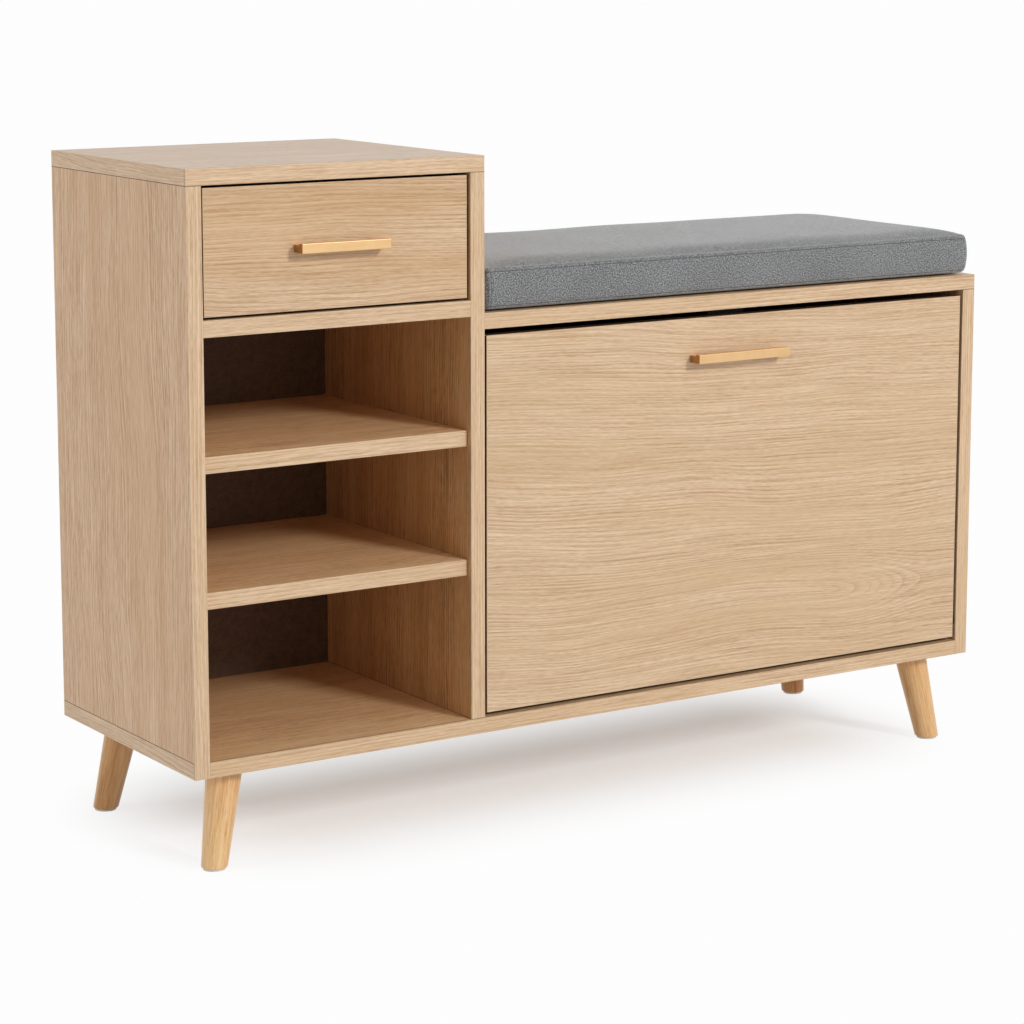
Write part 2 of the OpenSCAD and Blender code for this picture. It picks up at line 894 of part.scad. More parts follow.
module drawer_bottom_block(play = 0) {
    block(
        [box_x0 + box_t - box_groove - play, box_y0 + box_t - box_groove - play, box_bottom_z - play],
        [box_x1 - box_t + box_groove + play, box_y1 + play, box_bottom_z + box_bottom_t + play]
    );
}

// Screws through the sides into the ends of the box's inner front and rear
module box_screw_set(play = 0) {
    for (right = [false, true], y = [box_y0 + box_t / 2, box_y1 - box_t / 2],
         z = [box_bottom_z + box_bottom_t + box_screw_inset, box_z1 - box_screw_inset])
        tower_side(right)
            translate([slide_w, y, z])
                toward_right() screw(box_t + screw_l, play = play);
}

// Screws from inside the box into the drawer front
module front_screw_set(play = 0) {
    for (way = [-1, 1], z = [box_bottom_z + box_bottom_t + front_screw_inset, box_z1 - front_screw_inset])
        translate([tower_mid + way * tower_bay_w * pair_share, box_y0 + box_t, z])
            toward_front() screw(box_t + face_depth, play = play);
}

module drawer_front() {
    color(oak) difference() {
        block([drawer_x0, drawer_y0, drawer_z0], [drawer_x1, box_y0, drawer_z1]);
        front_screw_set(screw_play);
        at_drawer_handle() handle_screw_pair(drawer_handle_l, screw_play, drawer_grip);
    }
}

module drawer_inner_front() {
    color(oak_dark) difference() {
        block([box_x0 + box_t, box_y0, box_z0], [box_x1 - box_t, box_y0 + box_t, box_z1]);
        drawer_bottom_block(screw_play);
        box_screw_set(screw_play);
        front_screw_set(screw_play);
        at_drawer_handle() handle_screw_pair(drawer_handle_l, screw_play, drawer_grip);
    }
}

module drawer_box_side(right) {
    color(oak_dark) difference() {
        tower_side(right) block([slide_w, box_y0, box_z0], [slide_w + box_t, box_y1, box_z1]);
        drawer_bottom_block(screw_play);
        box_screw_set(screw_play);
        member_screw_set(screw_play);
    }
}

module drawer_left_side() { drawer_box_side(false); }
module drawer_right_side() { drawer_box_side(true); }

// The rear board stands on the drawer's bottom, which slides in under it
module drawer_rear() {
    color(oak_dark) difference() {
        block(
            [box_x0 + box_t, box_y1 - box_t, box_bottom_z + box_bottom_t],
            [box_x1 - box_t, box_y1, box_z1]
        );
        box_screw_set(screw_play);
    }
}

module drawer_bottom() {
    color(oak_dark) drawer_bottom_block();
}

module drawer_box_screws() {
    color(zinc) box_screw_set();
}

module drawer_front_screws() {
    color(zinc) front_screw_set();
}

// ---- Flap and its pivots ----

module at_pivot_end(right) {
    seat_side(right) translate([0, pivot_y, pivot_z]) rotate([0, 90, 0]) children();
}

pin_reach = face_depth - end_play;

module pivot_pin_set(play = 0) {
    for (right = [false, true])
        at_pivot_end(right)
            translate([0, 0, -pin_reach])
                cylinder(h = pin_reach + flap_gap + pivot_in + play, d = pivot_d + 2 * play);
}

module pivot_pins() {
    color(steel) pivot_pin_set();
}

module bush_set(play = 0) {
    for (right = [false, true])
        at_pivot_end(right) {
            translate([0, 0, -face_depth]) cylinder(h = face_depth + bush_flange_t, d = bush_d + 2 * play);
            cylinder(h = bush_flange_t, d = bush_d + 2 * bush_flange_w);
        }
}

module pivot_bushes() {
    color(nylon) difference() {
        bush_set();
        for (right = [false, true])
            at_pivot_end(right)
                translate([0, 0, -face_depth - 1])
                    cylinder(h = face_depth + bush_flange_t + 2, d = pivot_d + 2 * pivot_play);
    }
}

module flap_panel() {
    color(oak) difference() {
        block([flap_x0, flap_y0, flap_z0], [flap_x1, flap_back, flap_z1]);
        pivot_pin_set(screw_play);
        at_flap_handle() handle_screw_pair(flap_handle_l, screw_play, board_t);
        rack_screw_set(screw_play);
        strike_screw_set(screw_play);
    }
}

// ---- Shoe rack, drawn from the pivot ----

module arc_slot(radius, from, to, width, height) {
    rotate([0, 0, from])
        rotate_extrude(angle = to - from)
            translate([radius - width / 2, 0]) square([width, height]);
    for (angle = [from, to])
        rotate([0, 0, angle]) translate([radius, 0, 0]) cylinder(h = height, d = width);
}

module rack_screw_set(play = 0) {
    for (right = [false, true], z = rack_screw_zs)
        seat_side(right)
            translate([rack_gap - rack_flange_w / 2, flap_back + rack_t, pivot_z + z])
                toward_front() screw(screw_l, play = play);
}

module rack_plate(right) {
    color(plastic) difference() {
        seat_side(right) translate([rack_gap, pivot_y, pivot_z]) {
            along_x(rack_t)
                polygon([
                    [rack_front, -rack_drop], [rack_d, -rack_drop], [rack_d, rack_rear_h],
                    [rack_top_d, rack_h], [rack_front, rack_h]
                ]);
            translate([-rack_flange_w, rack_front, -rack_drop])
                cube([rack_flange_w + rack_t, rack_t, rack_h + rack_drop]);
        }
        seat_side(right)
            translate([rack_gap - 1, pivot_y, pivot_z])
                rotate([90, 0, 90])
                    arc_slot(stop_r, stop_angle - flap_open, stop_angle, stop_d + 2 * slot_play, rack_t + 2);
        rack_screw_set(screw_play);
    }
}

module left_rack_plate() { rack_plate(false); }
module right_rack_plate() { rack_plate(true); }

// A sloping shelf with an upturned lip at its rear
module rack_shelf(front_z) {
    end_z = rack_shelf_z(front_z, rack_shelf_d - rack_t);
    drop = rack_t / cos(rack_slope);
    translate([seat_in_l + rack_gap + rack_t, pivot_y, pivot_z])
        along_x(rack_inner_w)
            polygon([
                [rack_front, front_z], [rack_shelf_d - rack_t, end_z],
                [rack_shelf_d - rack_t, end_z + rack_lip], [rack_shelf_d, end_z + rack_lip],
                [rack_shelf_d, rack_shelf_z(front_z, rack_shelf_d) - drop], [rack_front, front_z - drop]
            ]);
}

module rack_shelves() {
    color(plastic)
        for (front_z = [lower_rack_z, upper_rack_z])
            rack_shelf(front_z);
}

module rack_rails() {
    color(steel)
        for (front_z = [lower_rack_z, upper_rack_z])
            translate([
                seat_in_l + rack_gap + rack_t,
                pivot_y + rail_y,
                pivot_z + rack_shelf_z(front_z, rail_y) + rail_rise
            ])
                rotate([0, 90, 0]) cylinder(h = rack_inner_w, d = rail_d);
}

module stop_stud_set(play = 0) {
    for (right = [false, true])
        seat_side(right)
            translate([0, pivot_y + stop_r * cos(stop_angle), pivot_z + stop_r * sin(stop_angle)])
                rotate([0, 90, 0])
                    translate([0, 0, -face_depth - play])
                        cylinder(h = face_depth + rack_gap + rack_t - moving_gap, d = stop_d + 2 * play);
}

module stop_studs() {
    color(steel) stop_stud_set();
}

// ---- Catch ----

module catch_screw_set(play = 0) {
    for (way = [-1, 1])
        translate([flap_mid + way * catch_l * pair_share, catch_y0 + catch_d / 2, seat_under - catch_h])
            toward_top() screw(catch_h + face_depth, play = play);
}

module magnetic_catch() {
    color(plastic) difference() {
        block(
            [flap_mid - catch_l / 2, catch_y0, seat_under - catch_h],
            [flap_mid + catch_l / 2, catch_y0 + catch_d, seat_under]
        );
        catch_screw_set(screw_play);
    }
}

module catch_screws() {
    color(zinc) catch_screw_set();
}

module strike_screw_set(play = 0) {
    for (way = [-1, 1])
        translate([flap_mid + way * catch_l * pair_share, flap_back + strike_t, strike_z0 + strike_h / 2])
            toward_front() screw(screw_l, play = play);
}

module strike_plate() {
    color(steel) difference() {
        block(
            [flap_mid - catch_l / 2, flap_back, strike_z0],
            [flap_mid + catch_l / 2, flap_back + strike_t, strike_z0 + strike_h]
        );
        strike_screw_set(screw_play);
    }
}

// Screws of the rack's plates and of the strike plate
module flap_screws() {
    color(zinc) {
        rack_screw_set();
        strike_screw_set();
    }
}

// ---- Cushion ----

// Plan of the cushion, drawn in evenly from its sides
module cushion_plan(drawn_in) {
    hull()
        for (corner = CUSHION_CORNERS)
            translate([corner[0], corner[1]]) circle(r = corner[2] - drawn_in, $fn = 48);
}

module seat_cushion() {
    low = seat_h + pad_t;
    color(cloth)
        hull()
            for (turn = [0 : 30 : 90]) {
                drop = cushion_round * (1 - sin(turn));
                translate([0, 0, low + drop])
                    linear_extrude(height = cushion_h - 2 * drop)
                        cushion_plan(cushion_round * (1 - cos(turn)));
            }
}

module cushion_pads() {
    color(plastic)
        for (x = [cushion_x0 + pad_inset, cushion_x1 - pad_inset - pad_l],
             y = [cushion_y0 + pad_inset, cushion_y1 - pad_inset - pad_w])
            translate([x, y, seat_h]) cube([pad_l, pad_w, pad_t]);
}

tower_top();
left_side();
right_side();
divider();
bottom_board();
seat_board();
fixed_shelf();
lower_shelf();
upper_shelf();
tower_back();
bench_back();
upright_edging();
level_edging();
shelf_edging();
shelf_pins();
cam_locks();
cam_bolts();
dowels();
back_screws();
front_left_leg();
front_right_leg();
rear_left_leg();
rear_right_leg();
leg_bolts();
leg_inserts();
foot_glides();
left_cabinet_slide();
right_cabinet_slide();
cabinet_slide_screws();
ball_cages();
slide_balls();
pivot_bushes();
stop_studs();
magnetic_catch();
catch_screws();
seat_cushion();
cushion_pads();
drawer_front();
drawer_inner_front();
drawer_left_side();
drawer_right_side();
drawer_rear();
drawer_bottom();
left_drawer_slide();
right_drawer_slide();
drawer_slide_screws();
drawer_box_screws();
drawer_front_screws();
drawer_handle();
drawer_handle_screws();
flap_panel();
flap_handle();
flap_handle_screws();
pivot_pins();
left_rack_plate();
right_rack_plate();
rack_shelves();
rack_rails();
strike_plate();
flap_screws();
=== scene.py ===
import json
import math

import bpy
import numpy as np
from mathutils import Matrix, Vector

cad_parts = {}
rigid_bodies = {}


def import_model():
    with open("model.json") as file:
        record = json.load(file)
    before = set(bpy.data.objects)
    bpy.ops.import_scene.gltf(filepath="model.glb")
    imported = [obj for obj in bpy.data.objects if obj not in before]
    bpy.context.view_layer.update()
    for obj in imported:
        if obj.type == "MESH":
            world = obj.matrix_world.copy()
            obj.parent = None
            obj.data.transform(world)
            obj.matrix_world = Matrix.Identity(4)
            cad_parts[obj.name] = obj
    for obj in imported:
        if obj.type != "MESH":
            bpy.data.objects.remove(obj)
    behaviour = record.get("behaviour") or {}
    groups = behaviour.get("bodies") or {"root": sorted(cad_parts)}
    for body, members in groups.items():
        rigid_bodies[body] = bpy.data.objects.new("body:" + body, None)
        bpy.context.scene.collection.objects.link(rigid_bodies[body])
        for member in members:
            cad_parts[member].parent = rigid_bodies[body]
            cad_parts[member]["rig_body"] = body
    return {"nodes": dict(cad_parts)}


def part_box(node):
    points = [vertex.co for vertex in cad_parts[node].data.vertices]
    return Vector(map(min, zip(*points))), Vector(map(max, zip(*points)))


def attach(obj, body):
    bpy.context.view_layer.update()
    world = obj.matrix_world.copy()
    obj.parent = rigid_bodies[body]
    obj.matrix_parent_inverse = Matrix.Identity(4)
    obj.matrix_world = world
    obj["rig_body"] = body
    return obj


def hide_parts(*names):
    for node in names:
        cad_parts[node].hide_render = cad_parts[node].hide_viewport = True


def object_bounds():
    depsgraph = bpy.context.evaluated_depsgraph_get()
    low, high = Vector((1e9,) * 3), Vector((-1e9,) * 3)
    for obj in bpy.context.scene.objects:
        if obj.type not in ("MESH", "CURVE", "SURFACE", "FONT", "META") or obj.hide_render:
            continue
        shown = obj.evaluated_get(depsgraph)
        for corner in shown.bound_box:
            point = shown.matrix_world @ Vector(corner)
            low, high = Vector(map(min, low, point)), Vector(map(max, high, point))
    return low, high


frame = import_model()
cad_low, cad_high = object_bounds()


# ---- Bottom board ----
# Veneered chipboard that runs the whole width and carries the sides, the divider and the legs.
# Its long arrises are taken off with fine paper, and its ends are banded with veneer along the depth.

def pick(piece):
    """Leaves one piece selected and active."""
    if bpy.context.object and bpy.context.object.mode != "OBJECT":
        bpy.ops.object.mode_set(mode="OBJECT")
    bpy.ops.object.select_all(action="DESELECT")
    piece.select_set(True)
    bpy.context.view_layer.objects.active = piece


def choose(piece, kind, test):
    """Goes into edit mode with the vertices, edges or faces selected that pass the test."""
    bpy.ops.object.mode_set(mode="EDIT")
    bpy.ops.mesh.select_mode(type=kind)
    bpy.ops.mesh.select_all(action="DESELECT")
    bpy.ops.object.mode_set(mode="OBJECT")
    mesh = piece.data
    parts = {"VERT": mesh.vertices, "EDGE": mesh.edges, "FACE": mesh.polygons}[kind]
    for part in parts:
        part.select = test(part)
    bpy.ops.object.mode_set(mode="EDIT")


def put(tree, kind, sockets, **settings):
    """Adds one node with its settings, and fills its sockets with values or links."""
    node = tree.nodes.new("ShaderNode" + kind)
    for setting, value in settings.items():
        setattr(node, setting, value)
    for socket, value in sockets.items():
        if isinstance(value, bpy.types.NodeSocket):
            tree.links.new(value, node.inputs[socket])
        else:
            node.inputs[socket].default_value = value
    return node.outputs[0]


def new_finish(name):
    """A fresh material: its tree, its shader and the place of a point on the piece."""
    finish = bpy.data.materials.new(name)
    finish.use_nodes = True
    tree = finish.node_tree
    shader = tree.nodes["Principled BSDF"]
    coordinates = tree.nodes.new("ShaderNodeTexCoord")
    return finish, tree, shader, coordinates.outputs["Object"]


def tone(red, green, blue):
    """A colour named by its 0 to 255 steps, as light adds up."""
    steps = [c / 255 for c in (red, green, blue)]
    return [c / 12.92 if c <= 0.04045 else ((c + 0.055) / 1.055) ** 2.4 for c in steps] + [1]


def figure(tree, place, stretch, detail=2, roughness=0.5):
    """Soft random figure, drawn out by its three stretches."""
    drawn = put(tree, "VectorMath", {0: place, 1: stretch}, operation="MULTIPLY")
    return put(tree, "TexNoise", {"Vector": drawn, "Scale": 1, "Detail": detail, "Roughness": roughness})


def sums(tree, operation, first, second=0.0, third=0.0):
    """One step of arithmetic on values or sockets."""
    return put(tree, "Math", {0: first, 1: second, 2: third}, operation=operation)


def axes(tree, place):
    """The X, Y and Z of a place."""
    parts = tree.nodes.new("ShaderNodeSeparateXYZ")
    tree.links.new(place, parts.inputs[0])
    return parts.outputs


def rise(tree, value, low, high, least=0.0, most=1.0, way="LINEAR"):
    """Goes from least to most while a value goes from low to high, and no further."""
    ends = {"Value": value, "From Min": low, "From Max": high, "To Min": least, "To Max": most}
    return put(tree, "MapRange", ends, interpolation_type=way)


def blend(tree, share, first, second):
    """The first colour, with a share of the second over it."""
    return put(tree, "MixRGB", {0: share, 1: first, 2: second}, blend_type="MIX")


def ramp(tree, value, stops):
    """A colour read off between (place, colour) stops."""
    node = tree.nodes.new("ShaderNodeValToRGB")
    tree.links.new(value, node.inputs[0])
    stripe = node.color_ramp.elements
    while len(stripe) < len(stops):
        stripe.new(0.5)
    for element, (place, colour) in zip(stripe, stops):
        element.position = place
        element.color = colour
    return node.outputs[0]


def coat(tree, shader, colour, dull, height, strength=0.2, depth=0.0002):
    """Gives a shader its colour and its dullness, and a fine relief of the height's figure."""
    tree.links.new(colour, shader.inputs["Base Color"])
    if isinstance(dull, float):
        shader.inputs["Roughness"].default_value = dull
    else:
        tree.links.new(dull, shader.inputs["Roughness"])
    relief = put(tree, "Bump", {"Height": height, "Strength": strength, "Distance": depth})
    tree.links.new(relief, shader.inputs["Normal"])


year_width = 0.0037
pore_brown = (158, 120, 80)


def arched(tree, place, heart_x, heart_z, reach, cover):
    """Closes the growth rings into nested arches, as where a log is cut close to its heart."""
    along, into, upward = axes(tree, place)
    above = sums(tree, "SUBTRACT", upward, heart_z)
    depth = rise(tree, along, heart_x - reach, heart_x, 0.0, cover, "SMOOTHSTEP")
    ring = sums(tree, "MULTIPLY_ADD", above, above, sums(tree, "MULTIPLY", depth, depth))
    return put(tree, "CombineXYZ", {0: along, 1: into, 2: sums(tree, "SQRT", ring)})


def oak_finish(name, turn=(0, 0, 0), slide=(0, 0, 0), wave=0.06, arch=None, pale=(236, 207, 172),
               middle=(217, 184, 148), deep=(188, 150, 108), gold=(214, 176, 130), contrast=1.0,
               broad=0.3, flat=False):
    """Lacquered oak veneer. The grain runs along X until turn lays it another way, and flat says that
    the face lies level before that turn."""
    finish, tree, shader, place = new_finish(name)
    place = put(tree, "Mapping", {"Vector": place, "Rotation": turn, "Location": slide})

    def grain(where, along, across, detail=1):
        """Figure with its turns a metre along and across the grain, and few of them into the face."""
        inward = across * 0.05
        stretch = (along, across, inward) if flat else (along, inward, across)
        return figure(tree, where, stretch, detail)

    sway = sums(tree, "MULTIPLY_ADD", grain(place, 1.7, 5), wave, -wave / 2)
    sway = sums(tree, "MULTIPLY_ADD", grain(place, 4.5, 13), wave * 0.28, sway)
    swayed = put(tree, "CombineXYZ", {1 if flat else 2: sway})
    place = put(tree, "VectorMath", {0: place, 1: swayed}, operation="ADD")
    growth = arched(tree, place, *arch) if arch else place
    _, into, upward = axes(tree, growth)
    wander = sums(tree, "MULTIPLY", grain(growth, 0.9, 45), 4.0)
    years = sums(tree, "MULTIPLY_ADD", sums(tree, "ADD", into, upward), 1 / year_width, wander)
    early = sums(tree, "POWER", sums(tree, "SUBTRACT", 1.0, sums(tree, "FRACT", years)), 2.2)
    early = sums(tree, "MULTIPLY", early, rise(tree, grain(growth, 1.6, 60), 0.35, 0.65, 0.35, 1.0))
    streaks = grain(place, 17, 760)
    fibres = grain(place, 90, 1600)
    wide_streaks = grain(place, 8, 260)
    lines = rise(tree, grain(place, 11, 1000), 0.55, 0.75)
    # Each figure has its share of the tint, and what that adds on average, which the level takes off
    figures = ((early, -0.42, -0.1), (streaks, 0.58, 0.29), (fibres, 0.84, 0.42),
               (wide_streaks, 0.34, 0.17), (lines, -0.25, -0.03))
    level = 0.5 - broad / 2 - contrast * sum(average for _, _, average in figures)
    tint = sums(tree, "MULTIPLY_ADD", grain(growth, 0.8, 30, 2), broad, level)
    for part, share, _ in figures:
        tint = sums(tree, "MULTIPLY_ADD", part, share * contrast, tint)
    colour = ramp(tree, tint, [(0.12, tone(*deep)), (0.5, tone(*middle)), (0.88, tone(*pale))])
    golden = rise(tree, grain(growth, 2.2, 18), 0.45, 0.7, most=0.4)
    colour = blend(tree, golden, colour, tone(*gold))
    pores = rise(tree, grain(place, 22, 1250), 0.56, 0.72, most=0.28)
    colour = blend(tree, pores, colour, tone(*pore_brown))
    dull = sums(tree, "MULTIPLY_ADD", streaks, 0.16, 0.34)
    coat(tree, shader, colour, dull, sums(tree, "SUBTRACT", streaks, pores))
    return finish


crosswise = (0, 0, math.radians(90))
oak_level = oak_finish("oak_level", flat=True)
oak_end = oak_finish("oak_end", crosswise, (0, 0.7, 0))
oak_edge_level = oak_finish("oak_edge_level", slide=(0.4, 0, 0.9), wave=0.012)
# Paler, richer oak for the floors of the bays and the loose shelves: painted light where the lamp reaches
# into the bays.
oak_bay_floor_painted_light = oak_finish("oak_bay_floor_painted_light", slide=(0.2, 0.5, 0.5), pale=(252, 214, 168),
                           middle=(238, 196, 147), deep=(190, 143, 95), gold=(230, 183, 130),
                           contrast=1.5, broad=0.6, flat=True)
oak_seam = oak_finish("oak_seam", slide=(1, 1, 1), pale=(128, 96, 66), middle=(108, 79, 52),
                      deep=(90, 64, 42), gold=(108, 79, 52), flat=True)

right, left, up, down = (1, 0, 0), (-1, 0, 0), (0, 0, 1), (0, 0, -1)
same_place, near_plane, flat_enough, square_on = 0.00001, 0.00002, math.radians(0.5), 0.99


def merged_copy(node, name, finishes):
    """A copy of a CAD solid in edit mode, its loose triangles merged and its flat faces made whole."""
    piece = bpy.data.objects.new(name, frame["nodes"][node].data.copy())
    bpy.context.scene.collection.objects.link(piece)
    pick(piece)
    piece.data.materials.clear()
    for finish in finishes:
        piece.data.materials.append(finish)
    bpy.ops.object.mode_set(mode="EDIT")
    bpy.ops.mesh.customdata_custom_splitnormals_clear()
    bpy.ops.mesh.select_all(action="SELECT")
    bpy.ops.mesh.remove_doubles(threshold=same_place)
    bpy.ops.mesh.dissolve_limited(angle_limit=flat_enough)
    return piece


def on_outline(mesh, edge, low, high):
    """True for an edge that lies where two outer faces of the box meet."""
    first, second = (mesh.vertices[end].co for end in edge.vertices)
    planes = sum(abs(first[axis] - face[axis]) < near_plane and abs(second[axis] - face[axis]) < near_plane
                 for axis in range(3) for face in (low, high))
    return planes >= 2


def eased(node, face, ends=None, inner=None, inner_ways=(), joints=(), ease=0.0004,
          arris=None, rear=None):
    """A board with its arrises taken off, its ends and rear edge banded and its glue joints dark. Its
    inner faces and arrises can take finishes of their own: paler oak as painted light, darker oak as
    painted shade, and a paler arris as a painted highlight."""
    low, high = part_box(node)
    finishes = (face, arris or face, ends or face, inner or face, oak_seam, rear or face)
    arris_at, end_at, inner_at, seam_at, rear_at = range(1, 6)
    board = merged_copy(node, node + "_veneered", finishes)
    choose(board, "EDGE", lambda edge: on_outline(board.data, edge, low, high))
    bpy.ops.mesh.bevel(offset=ease, segments=2, affect="EDGES", material=arris_at)
    bpy.ops.object.mode_set(mode="OBJECT")
    board.data.shade_flat()
    for side in board.data.polygons:
        if side.material_index == arris_at:
            if any(abs(side.center[axis] - level) < ease for axis, level in joints):
                side.material_index = seam_at
        elif any(side.normal.dot(Vector(way)) > square_on for way in inner_ways):
            side.material_index = inner_at
        elif ends and abs(side.normal.x) > square_on:
            side.material_index = end_at
        elif side.normal.y > square_on:
            side.material_index = rear_at
    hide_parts(node)
    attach(board, frame["nodes"][node]["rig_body"])


base_top, board_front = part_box("bottom_board")[1].z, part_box("bottom_board")[0].y
base_joint, strip_joint = (2, base_top), (1, board_front)
# Its top in the bays takes the paler oak, as painted light.
eased("bottom_board", oak_level, oak_end, oak_bay_floor_painted_light, [up], [base_joint, strip_joint],
      rear=oak_edge_level)


# ---- Legs and glides ----
# Turned round legs of solid beech that taper to the foot and splay outwards both ways, screwed up into
# inserts in the bottom board. Each stands on a thin nylon glide.

leg_foot_r, leg_top_r, leg_foot_ease = 0.013, 0.018, 0.0014
leg_foot_z, leg_top_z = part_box("front_left_leg")[0].z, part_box("front_left_leg")[1].z


def leg_finish(name, lean_x, lean_y, deep, middle, pale):
    """Lacquered solid beech, its grain along a leg that leans so far for each metre of height."""
    finish, tree, shader, place = new_finish(name)
    across, into, upward = axes(tree, place)
    across = sums(tree, "MULTIPLY_ADD", upward, -lean_x, across)
    into = sums(tree, "MULTIPLY_ADD", upward, -lean_y, into)
    place = put(tree, "CombineXYZ", {0: across, 1: into, 2: upward})
    bands = figure(tree, place, (110, 110, 4))
    streaks = figure(tree, place, (620, 620, 14), 3, 0.6)
    tint = sums(tree, "MULTIPLY_ADD", bands, 1.3, -0.75)
    tint = sums(tree, "MULTIPLY_ADD", streaks, 1.2, tint)
    colour = ramp(tree, tint, [(0.2, tone(*deep)), (0.5, tone(*middle)), (0.8, tone(*pale))])
    pores = rise(tree, figure(tree, place, (1300, 1300, 50), 1), 0.56, 0.7, most=0.3)
    colour = blend(tree, pores, colour, tone(158, 108, 60))
    coat(tree, shader, colour, sums(tree, "MULTIPLY_ADD", streaks, 0.15, 0.3), streaks)
    return finish


def turned_leg(node, side, back, deep, middle, pale):
    """One leg: a cone whose top is drawn sideways over its foot, with a softened foot edge."""
    low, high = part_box(node)
    foot_x = low.x + leg_foot_r if side < 0 else high.x - leg_foot_r
    foot_y = low.y + leg_foot_r if back < 0 else high.y - leg_foot_r
    top_x = high.x - leg_top_r if side < 0 else low.x + leg_top_r
    top_y = high.y - leg_top_r if back < 0 else low.y + leg_top_r
    height = leg_top_z - leg_foot_z
    bpy.ops.mesh.primitive_cone_add(vertices=64, radius1=leg_foot_r, radius2=leg_top_r, depth=height,
                                    location=(foot_x, foot_y, leg_foot_z + height / 2))
    leg = bpy.context.object
    leg.name = node + "_turned"
    bpy.ops.object.transform_apply(location=True, rotation=True, scale=True)
    middle_z = leg_foot_z + height / 2
    choose(leg, "VERT", lambda spot: spot.co.z > middle_z)
    bpy.ops.transform.translate(value=(top_x - foot_x, top_y - foot_y, 0))
    bpy.ops.object.mode_set(mode="OBJECT")
    choose(leg, "EDGE", lambda edge: all(leg.data.vertices[end].co.z < middle_z for end in edge.vertices))
    bpy.ops.mesh.bevel(offset=leg_foot_ease, segments=4, affect="EDGES")
    bpy.ops.object.mode_set(mode="OBJECT")
    bpy.ops.object.shade_smooth_by_angle(angle=math.radians(40))
    lean_x, lean_y = (top_x - foot_x) / height, (top_y - foot_y) / height
    leg.data.materials.append(leg_finish(node + "_beech", lean_x, lean_y, deep, middle, pale))
    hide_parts(node)
    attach(leg, "bench")


# Each leg has its own shades: the front left one is painted lighter, and the rear ones darker and browner,
# as painted light and shade under the bench.
turned_leg("front_left_leg", -1, -1, (216, 164, 108), (240, 194, 136), (250, 212, 160))
turned_leg("front_right_leg", 1, -1, (208, 154, 98), (232, 184, 126), (244, 204, 150))
turned_leg("rear_left_leg", -1, 1, (190, 134, 80), (214, 161, 102), (229, 182, 126))
turned_leg("rear_right_leg", 1, 1, (170, 108, 56), (194, 133, 74), (212, 156, 96))


def dress(node, finish):
    """Gives a node its finish."""
    mesh = frame["nodes"][node].data
    mesh.materials.clear()
    mesh.materials.append(finish)


def shaded(colour, share):
    """A colour with its light brought to a share."""
    return [c * share for c in tone(*colour)[:3]] + [1]


def moulded(name, colour, gloss):
    """Moulded plastic with a fine spark-eroded skin."""
    finish, tree, shader, place = new_finish(name)
    skin = figure(tree, place, (2500, 2500, 2500))
    cloud = figure(tree, place, (40, 40, 40))
    colour = ramp(tree, cloud, [(0.3, shaded(colour, 0.88)), (0.7, shaded(colour, 1.12))])
    dull = sums(tree, "MULTIPLY_ADD", skin, 0.2, gloss - 0.1)
    coat(tree, shader, colour, dull, skin, 0.15, 0.0001)
    return finish


dress("foot_glides", moulded("nylon", (226, 223, 212), 0.4))


# ---- Sides, divider, shelves, tower top and seat board ----
# Veneered boards of one thickness. The upright ones have upright grain; the level ones have theirs along
# the width. Cam locks and dowels hold them, and the two loose shelves lie on pins.

upright = (0, math.radians(90), 0)
oak_upright = oak_finish("oak_upright", upright, (0.3, 0.2, 0), pale=(238, 206, 169),
                         middle=(218, 180, 142), deep=(184, 134, 88), gold=(210, 163, 117),
                         contrast=1.35, broad=0.7, flat=True)
oak_edge_upright = oak_finish("oak_edge_upright", upright, (0.1, 0.6, 0.4), wave=0.012)
# Darker, browner oak for faces inside the bays: painted shade on the same veneer.
oak_inside_painted_shade = oak_finish("oak_inside_painted_shade", slide=(0.7, 0.3, 0.5), pale=(230, 187, 138),
                        middle=(213, 168, 118), deep=(176, 132, 84), gold=(206, 156, 100), broad=0.6,
                        flat=True)
oak_upright_inside_painted_shade = oak_finish("oak_upright_inside_painted_shade", upright, (0.7, 0.3, 0.5), pale=(228, 184, 134),
                                middle=(206, 160, 109), deep=(154, 109, 64), gold=(196, 146, 90),
                                contrast=1.2, broad=0.7, flat=True)
# The tower top's oak is paler and greyer than the other boards: a painted sheen of white light on its
# level top.
oak_top_painted_sheen = oak_finish("oak_top_painted_sheen", slide=(0.8, 0.1, 0), pale=(238, 214, 187), middle=(218, 190, 162),
                     deep=(182, 149, 115), gold=(214, 182, 148), contrast=1.6, broad=0.5, flat=True)
tower_under, seat_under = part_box("tower_top")[0].z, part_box("seat_board")[0].z
top_joint, seat_joint = (2, tower_under), (2, seat_under)

# The inner faces of the left side and the divider take the darker oak, as painted shade inside the bays.
eased("left_side", oak_upright, inner=oak_upright_inside_painted_shade, inner_ways=[right],
      joints=[base_joint, top_joint], rear=oak_edge_upright)
eased("divider", oak_upright, inner=oak_upright_inside_painted_shade, inner_ways=[left],
      joints=[base_joint, top_joint, strip_joint], rear=oak_edge_upright)
eased("right_side", oak_upright, joints=[base_joint, seat_joint, strip_joint], rear=oak_edge_upright)
eased("tower_top", oak_top_painted_sheen, oak_end, joints=[top_joint, strip_joint], rear=oak_edge_level)
eased("seat_board", oak_level, oak_end, joints=[seat_joint, strip_joint], rear=oak_edge_level)
# The shelves' undersides take the darker oak, as painted shade.
eased("fixed_shelf", oak_level, inner=oak_inside_painted_shade, inner_ways=[down])
# The loose shelves' tops take the paler oak, as painted light.
for loose_shelf in ("lower_shelf", "upper_shelf"):
    eased(loose_shelf, oak_bay_floor_painted_light, inner=oak_inside_painted_shade, inner_ways=[down])


# ---- Edging strips ----
# Strips of solid oak, two millimetres thick, glued over the boards' front edges and sanded flush.
# A fine dark line shows where one strip meets another.

strip_ease = 0.0003


